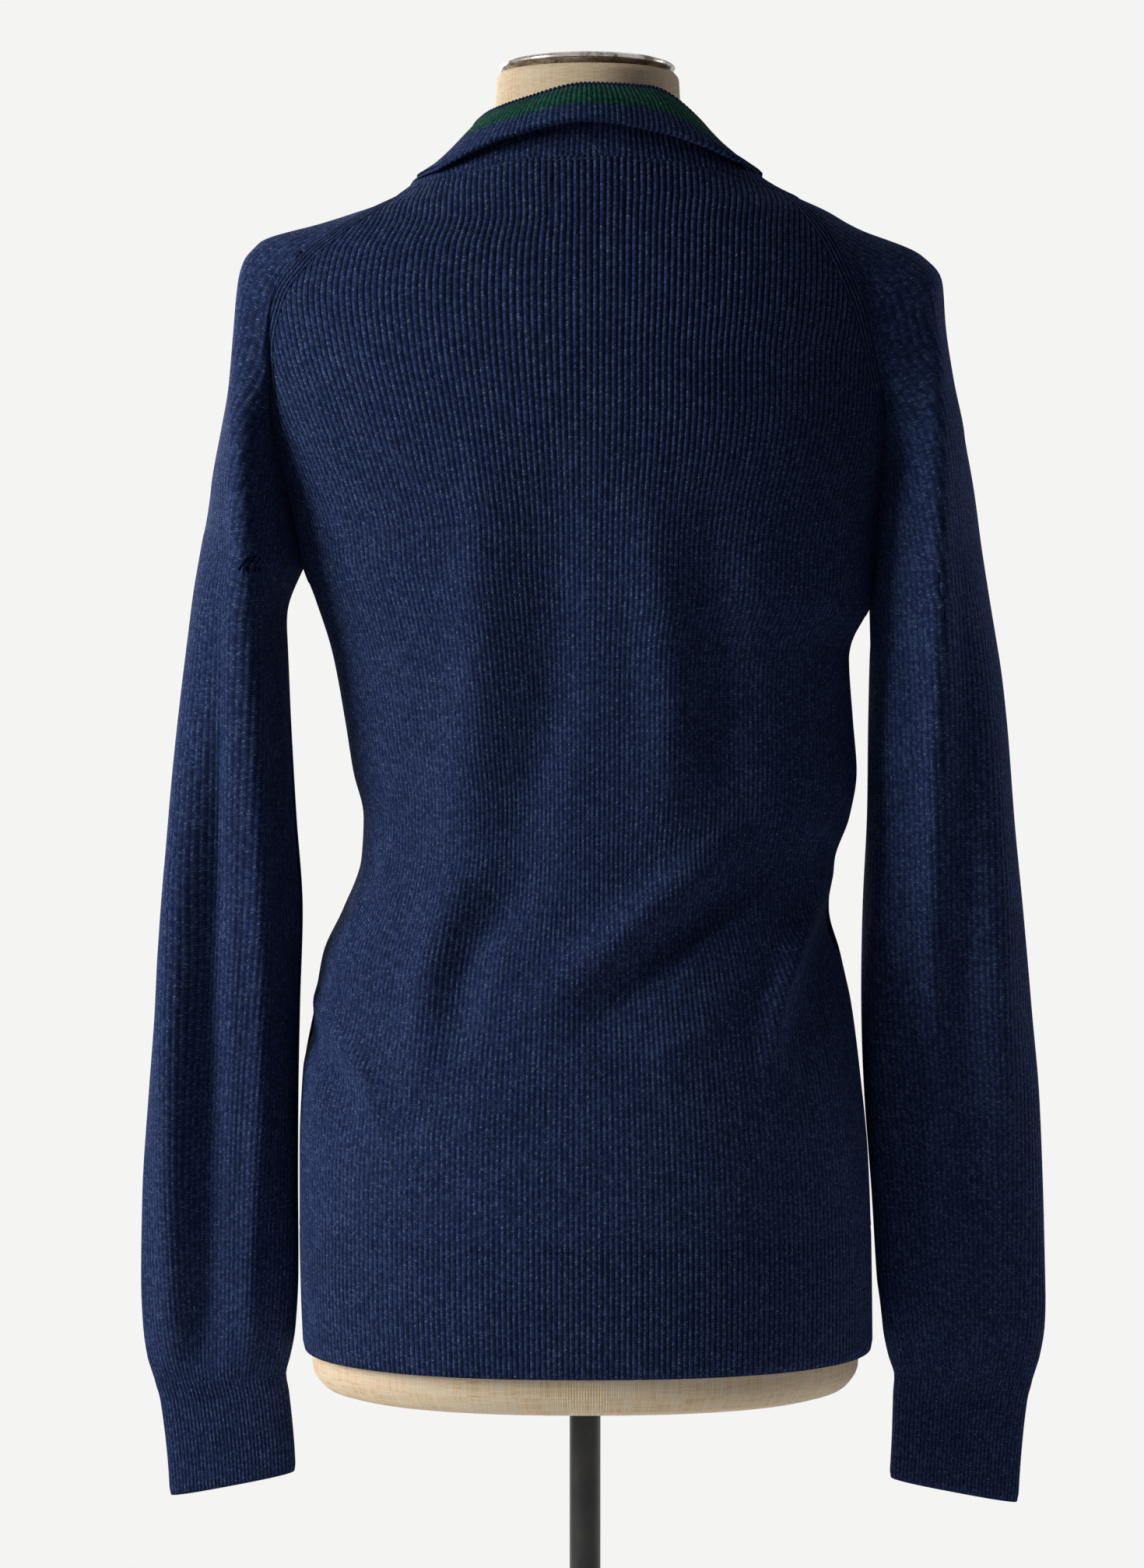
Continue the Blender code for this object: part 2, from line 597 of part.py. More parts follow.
def ribbed(outer, inner, counts, relief, wrapped=False):
    """Outer rows cut finer, with every second point raised away from the inner wall."""
    raised = []
    for row, points in enumerate(outer):
        fine_outer = fine_row(points, counts)
        fine_inner = fine_row(inner[row], counts)
        line = []
        last = len(fine_outer) - 1
        for index, point in enumerate(fine_outer):
            height = relief if index % 2 else 0.0
            if index in (0, last) and not wrapped:
                height = 0.0
            line.append(point + (point - fine_inner[index]).normalized() * height)
        raised.append(line)
    return raised


def wall_object(name, outer, inner, material, counts=None, closed=None):
    """One closed wall between an outer and an inner grid.

    `closed` says for each row whether its last point is its first one. `counts` gives how many outer faces
    stand over each inner face along a row, where the outer wall is cut finer. A cut face's diagonal runs
    from its lower outer corner to its upper inner one, so that the two sides of a seam stay parallel."""
    rows = len(inner)
    columns = len(inner[0]) - 1
    counts = counts or [1] * columns
    closed = closed or [False] * rows
    starts = [0]
    for count in counts:
        starts.append(starts[-1] + count)
    mesh = bpy.data.meshes.new(name)
    builder = bmesh.new()

    def corners(grid):
        made = []
        for row, points in enumerate(grid):
            line = [builder.verts.new(point) for point in (points[:-1] if closed[row] else points)]
            if closed[row]:
                line.append(line[0])
            made.append(line)
        return made

    out = corners(outer)
    inn = corners(inner)
    for row in range(rows - 1):
        for column in range(starts[-1]):
            four = (out[row][column], out[row][column + 1], out[row + 1][column + 1], out[row + 1][column])
            split_face(builder, four, True)
        for column in range(columns):
            four = (inn[row][column], inn[row + 1][column], inn[row + 1][column + 1], inn[row][column + 1])
            split_face(builder, four, True)
    for row, upward in ((0, False), (rows - 1, True)):
        for column, count in enumerate(counts):
            line = out[row][starts[column]:starts[column + 1] + 1]
            near, far = inn[row][column], inn[row][column + 1]
            rising = line[0].co.z <= line[-1].co.z
            for low, high in zip(line, line[1:]):
                edge_face(builder, (low, high, far if rising else near), upward)
            edge_face(builder, (line[0] if rising else line[-1], far, near), upward)
    for row in range(rows - 1):
        if closed[row] and closed[row + 1]:
            continue
        low, high = out[row][0], out[row + 1][0]
        split_face(builder, (low, high, inn[row + 1][0], inn[row][0]))
        low, high = out[row][starts[-1]], out[row + 1][starts[-1]]
        split_face(builder, (low, inn[row][columns], inn[row + 1][columns], high))
    builder.to_mesh(mesh)
    builder.free()
    return finish(name, mesh, material)


def split_face(builder, four, shorter=False):
    """Two triangles over four corners, or one where two corners are the same."""
    unique = []
    for corner in four:
        if corner not in unique:
            unique.append(corner)
    if len(unique) == 3:
        builder.faces.new(unique)
    if len(unique) < 4:
        return
    first, second, third, fourth = unique
    if shorter and (second.co - fourth.co).length < (first.co - third.co).length - 0.0002:
        first, second, third, fourth = second, third, fourth, first
    builder.faces.new((first, second, third))
    builder.faces.new((first, third, fourth))


def edge_face(builder, three, upward):
    builder.faces.new(three if upward else three[::-1])


def finish(name, mesh, material):
    """A named object of the mesh, shaded smooth but for its edges, in its material."""
    mesh.materials.append(material)
    mesh.shade_smooth()
    mesh.set_sharp_from_angle(angle=math.radians(50.0))
    made = bpy.data.objects.new(name, mesh)
    bpy.context.scene.collection.objects.link(made)
    return made


def plain_material(name, colour, roughness, metallic=0.0):
    material = bpy.data.materials.new(name)
    material.use_nodes = True
    shader = material.node_tree.nodes["Principled BSDF"]
    shader.inputs["Base Color"].default_value = (*colour, 1.0)
    shader.inputs["Roughness"].default_value = roughness
    shader.inputs["Metallic"].default_value = metallic
    return material


# ---- body panels and hem bands ---------------------------------------------------------------------------
def mirror_rows(rows):
    """The same grid with its columns in the opposite order, so that its faces still point outwards."""
    return [row[::-1] for row in rows]


def wall_piece(name, outer, inner, material, closed=None, counts=None, relief=0.0):
    """The wall of a piece, its edges drawn in, its faces outwards, its ribs raised where it has any."""
    outer, inner = pull_in(outer, inner, closed)
    wrapped = bool(closed) and all(closed)
    if needs_turning(outer, inner):
        outer = mirror_rows(outer)
        inner = mirror_rows(inner)
        counts = counts[::-1] if counts else None
    if counts:
        outer = ribbed(outer, inner, counts, relief, wrapped)
    wall_object(name, outer, inner, material, counts, closed)


def needs_turning(outer, inner):
    """Whether a grid's faces, in its own order, would point inwards."""
    row = min(len(outer) - 2, len(outer) // 2)
    column = len(outer[0]) // 2
    along = outer[row][column + 1] - outer[row][column]
    up = outer[row + 1][column] - outer[row][column]
    outward = outer[row][column] - inner[row][column]
    return along.cross(up).dot(outward) < 0.0


def build_hem(name, face, columns, material):
    """The ribbed hem band under a panel, its ribs at their real pitch."""
    outer = []
    inner = []
    for z in (HEM_Z, HEM_TOP):
        outer_row = []
        inner_row = []
        for side, ribs in columns:
            out, inn = cloth_point(side, face, rib_reach(face, side, ribs, z), z)
            outer_row.append(out)
            inner_row.append(inn)
        outer.append(outer_row)
        inner.append(inner_row)
    counts = [2 * COLUMN_RIBS] * (len(columns) - 1)
    wall_piece(name, outer, inner, material, None, counts, RIB_RELIEF)


# ---- sleeves and cuffs -----------------------------------------------------------------------------------
def sleeve_ring(side, z):
    """Outer points of a closed sleeve ring, from the underarm seam round the back and the front to it."""
    table = SLEEVE_LEFT if side < 0 else SLEEVE_RIGHT
    x, y, half_x, half_y, square, lean = row_at(table, z)
    points = []
    for column in range(SLEEVE_COLUMNS + 1):
        turn = math.pi - 2.0 * math.pi * column / SLEEVE_COLUMNS
        out = signed_power(math.cos(turn), 2.0 / square) * half_x
        behind = signed_power(math.sin(turn), 2.0 / square) * half_y
        points.append(Vector((side * (x + out), y - behind, z - lean * out)))
    points[-1] = points[0].copy()
    return points


def signed_power(value, power):
    if abs(value) < 1e-9:
        return 0.0
    return math.copysign(abs(value) ** power, value)


def sleeve_arch(side, row, back_point, front_point):
    """Outer points of an open sleeve row, from the back raglan seam over the ridge to the front one."""
    left_x, left_z, right_x, right_z, y, half_y, degrees = RIDGE[row]
    x, z = (left_x, left_z) if side < 0 else (right_x, right_z)
    ridge = Vector((side * x, y, z))
    middle = (back_point + front_point) * 0.5
    spread = (back_point - front_point) * 0.5
    if half_y:
        sweep = math.pi - math.asin(min(1.0, spread.length / half_y))
    else:
        sweep = math.radians(degrees)
    rise = (ridge - middle) / (1.0 - math.cos(sweep))
    centre = ridge - rise
    across = spread / math.sin(sweep) if row else Vector((0.0, -ARMHOLE_HALF_Y, 0.0))
    points = []
    for column in range(SLEEVE_COLUMNS + 1):
        turn = sweep - 2.0 * sweep * column / SLEEVE_COLUMNS
        points.append(centre + rise * math.cos(turn) + across * math.sin(turn))
    if row:
        points[0] = back_point.copy()
        points[-1] = front_point.copy()
    else:
        points[-1] = points[0].copy()
    return points


def sleeve_grid(side, back_points, front_points):
    """Outer rows of a sleeve from its cuff to the neckline, and which of them are closed rings."""
    outer = [sleeve_ring(side, z) for z in SLEEVE_RING_Z[side]]
    closed = [True] * len(outer)
    for row in range(CUT_COLUMNS + 1):
        outer.append(sleeve_arch(side, row, back_points[row], front_points[row]))
        closed.append(row == 0)
    return outer, closed


def raglan_inner(side, sleeve, edge_points, column, beside):
    """Inner points of a raglan seam, between the panel's wall and the sleeve's."""
    first = len(SLEEVE_RING_Z[side])
    alongs = line_directions(edge_points, False)
    inner = []
    for row, point in enumerate(edge_points):
        normal = body_normal(point)
        if row == 0:
            inner.append(point - normal * WALL)
            continue
        along = alongs[row]
        middle = sleeve[first + row][SLEEVE_COLUMNS // 2]
        into_panel = square_to(along.cross(normal), along)
        if into_panel.x * point.x > 0.0:
            into_panel = -into_panel
        into_sleeve = square_to(sleeve[first + row][beside] - point, along)
        sleeve_normal = along.cross(into_sleeve).normalized()
        if sleeve_normal.dot(point - middle) < 0.0 and row < CUT_COLUMNS - 1:
            sleeve_normal = -sleeve_normal
        if row >= CUT_COLUMNS - 1 and sleeve_normal.dot(normal) < 0.0:
            sleeve_normal = -sleeve_normal
        inner.append(seam_inner(point, [into_panel, into_sleeve], [normal, sleeve_normal], WALL))
    return inner


def build_sleeve(name, side, outer, closed, back_inner, front_inner, top_inner, material):
    """A sleeve between its cuff, its raglan seams and the collar; returns its lowest ring for the cuff."""
    inner = grid_inner(outer, side * WALL, closed)
    first = len(SLEEVE_RING_Z[side])
    for row in range(1, CUT_COLUMNS + 1):
        inner[first + row][0] = back_inner[row].copy()
        inner[first + row][-1] = front_inner[row].copy()
    inner[-1] = top_inner
    away = body_normal(outer[first][0])
    ring = (outer[0], inner[0])
    outer = [list(row) for row in outer]
    for column in (0, -1):
        outer[first][column] = outer[first][0] + away * (SEAM if column == 0 else 0.0)
        inner[first][column] = outer[first][0] + away * WALL
    wall_piece(name, outer, inner, material, closed)
    return ring


def build_cuff(name, side, top_ring, material):
    """The ribbed cuff under a sleeve, open at the wrist."""
    rings = [sleeve_ring(side, z) for z in CUFF_RING_Z[side]]
    outer = rings + [top_ring[0]]
    closed = [True] * len(outer)
    inner = grid_inner(outer, side * WALL, closed)
    inner[-1] = top_ring[1]
    counts = []
    for before, after in zip(outer[0], outer[0][1:]):
        counts.append(max(2, 2 * round((after - before).length / CUFF_RIB_PITCH)))
    wall_piece(name, outer, inner, material, closed, counts, RIB_RELIEF)


# ---- collar ----------------------------------------------------------------------------------------------
def collar_grid(seam, middle):
    """Outer rows of the stand collar, from the neckline's seam points up to its rim."""
    lengths = [0.0]
    for before, after in zip(seam, seam[1:]):
        lengths.append(lengths[-1] + (after - before).length)
    outer = [list(seam)]
    for line in range(4):
        points = []
        for index in range(len(seam)):
            way = lengths[middle] if index <= middle else lengths[-1] - lengths[middle]
            values = row_at(COLLAR, (lengths[index] - lengths[middle]) / way)
            x, y, z = values[3 * line:3 * line + 3]
            points.append(Vector((x, y, z)))
        outer.append(points)
    return outer


def neck_inner(collar):
    """Inner points of the neckline seam, between the collar's wall and the walls under it."""
    seam = collar[0]
    inner = []
    for index, along in enumerate(line_directions(seam, False)):
        point = seam[index]
        normal = body_normal(point)
        into_body = square_to(along.cross(normal), along)
        if into_body.dot(Vector((point.x, point.y - 0.01, -0.05))) < 0.0:
            into_body = -into_body
        into_collar = square_to(collar[1][index] - point, along)
        collar_normal = along.cross(into_collar).normalized()
        if collar_normal.dot(Vector((point.x, point.y - 0.01, 0.0))) < 0.0:
            collar_normal = -collar_normal
        inner.append(seam_inner(point, [into_body, into_collar], [normal, collar_normal], WALL))
    return inner


def build_collar(outer, seam_inner_points, material):
    """The stand collar on the neckline, from the left front round the back to the right front."""
    inner = grid_inner(outer, COLLAR_WALL, [False] * len(outer))
    inner[0] = seam_inner_points
    counts = []
    for before, after in zip(outer[0], outer[0][1:]):
        counts.append(max(1, round(2.0 * (after - before).length / COLLAR_RIB_PITCH)))
    wall_piece("collar", outer, inner, material, None, counts, RIB_RELIEF)


# ---- button bands and buttons ----------------------------------------------------------------------------
def band_rows(side):
    """Heights of a band's rows: the hem's two and those of its front's edge."""
    top = panel_top(1, side, 0)
    return [HEM_Z] + [HEM_TOP + (top - HEM_TOP) * share for share in PANEL_SHARES]


def band_point(side, reach, z, depth):
    """A point of the front at a reach from its middle, past it where the reach is negative, and a depth in."""
    if reach < 0.0:
        side = -side
        reach = -reach
    base, _ = cloth_point(side, 1, reach, z)
    return base - body_normal(base) * depth


def build_band(name, side, corner, material):
    """A button band: the left one closes the front, the right one lies under both fronts' edges.

    `corner` is the inner point that the left band shares with its front at the neckline."""
    if side < 0:
        offsets = (0.0, BAND_HALF, 2.0 * BAND_HALF)
        depth = 0.0
    else:
        offsets = (-UNDER_LAP, BAND_HALF - UNDER_LAP, 2.0 * BAND_HALF - UNDER_LAP)
        depth = UNDER_BAND
    outer = []
    inner = []
    for z in band_rows(side):
        edge = open_edge(z)
        outer_row = []
        inner_row = []
        for offset in offsets:
            outer_row.append(band_point(side, edge - offset, z, depth))
            inner_row.append(band_point(side, edge - offset, z, depth + WALL))
        outer.append(outer_row)
        inner.append(inner_row)
    if side < 0:
        inner[-1][0] = corner
    wall_piece(name, outer, inner, material)


def turned_object(name, profile, segments, material):
    """A turned solid from a profile of radii and heights that starts and ends on the axis."""
    mesh = bpy.data.meshes.new(name)
    builder = bmesh.new()
    rings = []
    for radius, z in profile:
        if radius == 0.0:
            rings.append([builder.verts.new((0.0, 0.0, z))])
            continue
        ring = []
        for step in range(segments):
            turn = 2.0 * math.pi * step / segments
            ring.append(builder.verts.new((radius * math.cos(turn), radius * math.sin(turn), z)))
        rings.append(ring)
    for low, high in zip(rings, rings[1:]):
        for step in range(segments):
            after = (step + 1) % segments
            corners = []
            for vert in (low[step % len(low)], low[after % len(low)],
                         high[after % len(high)], high[step % len(high)]):
                if vert not in corners:
                    corners.append(vert)
            builder.faces.new(corners)
    builder.to_mesh(mesh)
    builder.free()
    return finish(name, mesh, material)


def build_buttons(material):
    """Turned buttons with a raised rim, down the middle of the left band."""
    dish = BUTTON_THICK * 0.62
    profile = (
        (0.0, 0.0), (BUTTON_R * 0.86, 0.0), (BUTTON_R, BUTTON_THICK * 0.45),
        (BUTTON_R * 0.86, BUTTON_THICK), (BUTTON_R * 0.62, dish), (0.0, dish),
    )
    for index in range(BUTTON_COUNT):
        z = BUTTON_LOW_Z + (BUTTON_HIGH_Z - BUTTON_LOW_Z) * index / (BUTTON_COUNT - 1)
        made = turned_object("button_%d" % (index + 1), profile, 12, material)
        seat = band_point(-1, 0.0003, z, 0.0)
        normal = body_normal(seat)
        made.rotation_mode = "QUATERNION"
        made.rotation_quaternion = Vector((0.0, 0.0, 1.0)).rotation_difference(normal)
        made.location = seat + normal * SEAT


# ---- dress form and stand --------------------------------------------------------------------------------
def build_form(material):
    """The limbless torso with its neck, smooth and whole."""
    rings = []
    for z, half, back, front, square in FORM:
        neck = smooth_step((z - 1.25) / 0.06)
        ring = []
        for step in range(FORM_SEGMENTS):
            turn = 2.0 * math.pi * (step + 0.5) / FORM_SEGMENTS
            x = signed_power(math.cos(turn), 2.0 / square) * half
            y = signed_power(math.sin(turn), 2.0 / square)
            ring.append(Vector((x + NECK_X * neck, y * (front if y > 0 else back), z)))
        rings.append(ring)
    mesh = bpy.data.meshes.new("form_torso")
    builder = bmesh.new()
    made = [[builder.verts.new(point) for point in ring] for ring in rings]
    for low, high in zip(made, made[1:]):
        for step in range(FORM_SEGMENTS):
            after = (step + 1) % FORM_SEGMENTS
            builder.faces.new((low[step], low[after], high[after], high[step]))
    builder.faces.new(made[0][::-1])
    builder.faces.new(made[-1])
    builder.to_mesh(mesh)
    builder.free()
    finish("form_torso", mesh, material)


def build_stand(iron, chrome):
    """Round foot with a socket, pole, and the cap on the neck."""
    foot = (
        (0.0, 0.0), (FOOT_R - 0.003, 0.0), (FOOT_R, 0.003), (FOOT_R, FOOT_THICK - 0.003),
        (FOOT_R - 0.004, FOOT_THICK), (BOSS_R + 0.006, FOOT_THICK + 0.002), (BOSS_R, FOOT_THICK + 0.006),
        (BOSS_R - 0.002, BOSS_TOP), (SOCKET_R, BOSS_TOP), (SOCKET_R, SOCKET_FLOOR), (0.0, SOCKET_FLOOR),
    )
    turned_object("stand_foot", foot, 36, iron)
    pole = (
        (0.0, SOCKET_FLOOR + SEAT), (POLE_R, SOCKET_FLOOR + SEAT), (POLE_R, FORM_BOTTOM - SEAT),
        (0.0, FORM_BOTTOM - SEAT),
    )
    turned_object("stand_pole", pole, 20, iron)
    cap_low = NECK_TOP + SEAT
    cap = (
        (0.0, cap_low), (CAP_R - 0.006, cap_low), (CAP_R - 0.001, cap_low + 0.003),
        (CAP_R, cap_low + 0.0055), (CAP_R - 0.0015, cap_low + CAP_THICK - 0.001),
        (CAP_R - 0.006, cap_low + CAP_THICK), (0.0, cap_low + CAP_THICK),
    )
    made = turned_object("neck_cap", cap, 28, chrome)
    made.location = (NECK_X, NECK_Y, 0.0)


# ---- the whole -------------------------------------------------------------------------------------------
def build_garment(navy):
    """The cardigan: its panels, sleeves and collar share their seam points, so they are laid out together."""
    back, back_in = panel_columns(-1, back_ribs())
    fronts = {side: panel_columns(1, front_ribs(side)) for side in (-1, 1)}
    last = len(back[-1]) - 1
    sleeves = {}
    seams = {}
    for side in (-1, 1):
        back_line = [back[-1][row if side < 0 else last - row] for row in range(CUT_COLUMNS + 1)]
        front_line = [fronts[side][0][-1][row] for row in range(CUT_COLUMNS + 1)]
        sleeve, closed = sleeve_grid(side, back_line, front_line)
        back_seam = raglan_inner(side, sleeve, back_line, 0, 1)
        front_seam = raglan_inner(side, sleeve, front_line, -1, -2)
        for row in range(1, CUT_COLUMNS + 1):
            back_in[-1][row if side < 0 else last - row] = back_seam[row]
            fronts[side][1][-1][row] = front_seam[row]
        sleeves[side] = (sleeve, closed)
        seams[side] = (back_seam, front_seam)

    front_last = len(fronts[-1][0][-1]) - 1
    parts = (
        (fronts[-1][0][-1], fronts[-1][1][-1], range(front_last, CUT_COLUMNS, -1)),
        (sleeves[-1][0][-1], None, range(SLEEVE_COLUMNS, -1, -1)),
        (back[-1], back_in[-1], range(CUT_COLUMNS + 1, last - CUT_COLUMNS)),
        (sleeves[1][0][-1], None, range(0, SLEEVE_COLUMNS + 1)),
        (fronts[1][0][-1], fronts[1][1][-1], range(CUT_COLUMNS + 1, front_last + 1)),
    )
    neck = []
    for points, _, columns in parts:
        neck += [points[column] for column in columns]
    middle = (front_last - CUT_COLUMNS) + (SLEEVE_COLUMNS + 1) + (last // 2 - CUT_COLUMNS - 1)
    collar = collar_grid(neck, middle)
    neck_in = neck_inner(collar)
    index = 0
    tops = []
    for points, inner_row, columns in parts:
        inner_points = neck_in[index:index + len(columns)]
        index += len(columns)
        if inner_row is None:
            tops.append(inner_points)
            continue
        for column, point in zip(columns, inner_points):
            inner_row[column] = point
    tops[0] = tops[0][::-1]
    for side, top in ((-1, tops[0]), (1, tops[1])):
        fronts[side][1][-1][CUT_COLUMNS] = top[-1]
        back_in[-1][CUT_COLUMNS if side < 0 else last - CUT_COLUMNS] = top[0]
        seams[side][0][CUT_COLUMNS] = top[0]
        seams[side][1][CUT_COLUMNS] = top[-1]

    build_band("band_left", -1, fronts[-1][1][-1][-1].copy(), navy)
    build_band("band_right", 1, None, navy)
    wall_piece("back_panel", back, back_in, navy)
    wall_piece("front_left", *fronts[-1], navy)
    wall_piece("front_right", *fronts[1], navy)
    for side, name, top in ((-1, "left", tops[0]), (1, "right", tops[1])):
        ring = build_sleeve("sleeve_" + name, side, *sleeves[side], *seams[side], top, navy)
        build_cuff("cuff_" + name, side, ring, navy)
    keep = [point for point in range(len(neck)) if not thinned(point, front_last - CUT_COLUMNS,
                                                                last - 2 * CUT_COLUMNS - 1)]
    build_collar([[row[point] for point in keep] for row in collar], [neck_in[point] for point in keep], navy)
    build_hem("hem_back", -1, back_ribs(), navy)
    build_hem("hem_left", 1, front_ribs(-1), navy)
    build_hem("hem_right", 1, front_ribs(1), navy)


def thinned(index, front, behind):
    """Whether the collar leaves out a neckline point: every second one over the sleeves."""
    for start in (front, front + SLEEVE_COLUMNS + 1 + behind):
        if start <= index <= start + SLEEVE_COLUMNS:
            return (index - start) % 2 == 1
    return False


def build():
    for old in list(bpy.data.objects):
        bpy.data.objects.remove(old, do_unlink=True)
    navy = plain_material("navy_knit", (0.016, 0.030, 0.085), 0.92)
    dark = plain_material("navy_button", (0.010, 0.013, 0.028), 0.35)
    linen = plain_material("linen", (0.62, 0.50, 0.34), 0.85)
    iron = plain_material("black_iron", (0.012, 0.012, 0.012), 0.45)
    chrome = plain_material("chrome", (0.62, 0.62, 0.63), 0.22, 1.0)
    build_garment(navy)
    build_buttons(dark)
    build_form(linen)
    build_stand(iron, chrome)


build()
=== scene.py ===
"""Looks of the rib-knit raglan cardigan, its limbless dress form and the stand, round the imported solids.

Every knitted piece is a closed thin shell laid on its solid's form: fine outer points with real ribs, creases
and seams, over a plain inner side. Stitches, heather and weave are in the materials, which follow each
piece's own UV map, counted in ribs and courses. Lengths are in metres; a side is -1 on the left and 1 on the
right, a face -1 at the back and 1 at the front.
"""
import math

import bpy
import bmesh
import numpy as np
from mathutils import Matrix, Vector


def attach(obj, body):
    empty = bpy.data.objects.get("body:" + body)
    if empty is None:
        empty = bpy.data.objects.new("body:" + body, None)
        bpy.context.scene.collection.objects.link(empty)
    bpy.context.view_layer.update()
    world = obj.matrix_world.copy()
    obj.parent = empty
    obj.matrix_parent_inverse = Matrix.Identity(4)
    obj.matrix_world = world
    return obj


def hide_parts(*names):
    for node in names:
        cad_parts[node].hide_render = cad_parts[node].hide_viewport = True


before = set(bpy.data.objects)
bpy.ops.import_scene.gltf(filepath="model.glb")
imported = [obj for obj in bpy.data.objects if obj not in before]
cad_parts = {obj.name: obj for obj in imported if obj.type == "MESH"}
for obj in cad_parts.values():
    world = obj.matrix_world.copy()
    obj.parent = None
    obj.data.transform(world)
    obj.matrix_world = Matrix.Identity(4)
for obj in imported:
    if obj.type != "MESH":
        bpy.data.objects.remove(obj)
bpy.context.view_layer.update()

# ---- camera: the photograph's viewpoint, level with the shoulder blades ----
CAMERA_PLACE = (-0.0077, -2.1, 1.0)
CAMERA_AIM = (-0.0077, 0.0, 0.9286)
CAMERA_LENS = 82.5

# ---- cloth sizes, as in the solids ----
WALL = 0.0022
COLLAR_WALL = 0.0024
HEM_Z = 0.600
HEM_TOP = 0.672
BACK_RIBS = 144
FRONT_RIBS = 68
COLUMN_RIBS = 4           # ribs that a raglan seam cuts off from one row of its table to the next
CUT_ROWS = 9
BAND_HALF = 0.0150
BAND_GAP = 0.0153
FRONT_EDGE_TOP = 0.040    # how far from the middle the front's edge is at the neckline
OPEN_FROM_Z = 1.118       # and where it begins to lean away
UNDER_BAND = 0.0028       # how deep the right band lies under the left one
UNDER_LAP = 0.0040        # and how far it reaches past the front's edge

# ---- finer knit sizes ----
COURSE = 0.00155          # height of one course of stitches
STEPS_PER_RIB = 4         # outer points across one rib
INNER_EVERY = 8           # outer steps that one step of the plain inner side spans
FASHION_RIBS = 4          # ribs that run beside each raglan seam
FASHION_WIDTH = 0.0112    # and their width in all
SLEEVE_RIBS = 84
CUFF_RIBS = 76
COLLAR_RIBS = 192
BAND_RIBS = 10
FASHION_RELIEF = 0.00080  # heights of the ribs
HEM_RELIEF = 0.00050
SLEEVE_RELIEF = 0.00030
CUFF_RELIEF = 0.00040
COLLAR_RELIEF = 0.00045
BAND_RELIEF = 0.00040
FLUSH_FROM_Z = 1.110      # above here the sleeve meets the body level with it,
FLUSH_RISE = 0.060        # in full after this height,
FLUSH_REACH = 0.045       # this far from the seam
SEAM_TAPER = 0.10         # share of a sleeve's ribs that end early along its raglan seams

# ---- buttons, dress form and stand, as in the solids ----
GAP = 0.0004              # air under the buttons and the cap, and at both ends of the pole
BUTTON_R = 0.0085
BUTTON_THICK = 0.0030
BUTTON_COUNT = 6
BUTTON_LOW_Z = 0.636
BUTTON_HIGH_Z = 1.108
POLE_R = 0.0091
FOOT_R = 0.190
FOOT_THICK = 0.010
BOSS_R = 0.027
BOSS_TOP = 0.034
SOCKET_R = 0.0094
SOCKET_FLOOR = 0.008
FORM_BOTTOM = 0.5755
NECK_TOP = 1.3410
NECK_X = 0.0014
NECK_Y = 0.0080
CAP_R = 0.0510
CAP_THICK = 0.0065

# ---- tables of the forms, as in the solids ----
TENTHS = 10000.0          # tenths of a millimetre in a metre


def scaled(parts, rows):
    """A table from whole numbers, each column counted in its own parts of a metre or of one."""
    return np.array(rows) / np.array(parts)


# The body's cloth: z, half widths left and right, depths at the back and front, squareness.
BODY = scaled([TENTHS] * 5 + [100.0], (
    (5960, 1646, 1680, 1115, 1085, 235),
    (6300, 1660, 1676, 1135, 1095, 235),
    (6720, 1668, 1668, 1145, 1100, 235),
    (7150, 1668, 1650, 1145, 1085, 230),
    (7600, 1650, 1606, 1110, 1050, 225),
    (8000, 1580, 1555, 1050, 1020, 220),
    (8300, 1530, 1492, 1005, 1000, 220),
    (8560, 1412, 1425, 960, 990, 220),
    (8850, 1305, 1455, 915, 990, 220),
    (9100, 1292, 1542, 890, 1000, 220),
    (9360, 1351, 1583, 880, 1020, 220),
    (9650, 1397, 1561, 885, 1050, 220),
    (10050, 1470, 1535, 940, 1105, 225),
    (10370, 1570, 1665, 985, 1150, 230),
    (10560, 1640, 1674, 1005, 1168, 230),
    (10750, 1681, 1690, 1030, 1178, 230),
    (10950, 1738, 1717, 1055, 1180, 230),
    (11170, 1817, 1752, 1078, 1170, 230),
    (11450, 1921, 1801, 1070, 1135, 230),
    (11760, 1985, 1840, 1035, 1075, 230),
    (12040, 2005, 1830, 990, 1005, 230),
    (12240, 1930, 1765, 942, 935, 230),
    (12410, 1740, 1650, 888, 850, 230),
    (12560, 1390, 1490, 830, 730, 230),
    (12680, 1100, 1230, 775, 560, 230),
    (12850, 900, 980, 695, 450, 230),
))

# Raglan seams, a row for each four ribs that they have cut off: row, x and z left, x and z right.
RAGLAN_BACK = scaled([1.0] + [TENTHS] * 4, (
    (0, 1640, 10560, 1665, 10370),
    (1, 1672, 10750, 1672, 10620),
    (2, 1710, 10950, 1688, 10900),
    (3, 1757, 11170, 1716, 11180),
    (4, 1815, 11450, 1716, 11440),
    (5, 1843, 11780, 1664, 11700),
    (6, 1785, 12070, 1605, 11965),
    (7, 1615, 12305, 1510, 12200),
    (8, 1345, 12505, 1385, 12440),
    (9, 1080, 12678, 1225, 12640),
))
RAGLAN_FRONT = scaled([1.0] + [TENTHS] * 4, (
    (0, 1640, 10560, 1665, 10370),
    (1, 1672, 10750, 1672, 10620),
    (2, 1706, 10960, 1686, 10890),
    (3, 1742, 11200, 1698, 11160),
    (4, 1768, 11480, 1694, 11430),
    (5, 1752, 11760, 1648, 11720),
    (6, 1675, 12030, 1580, 12000),
    (7, 1515, 12270, 1460, 12250),
    (8, 1265, 12480, 1270, 12470),
    (9, 985, 12630, 1030, 12630),
))

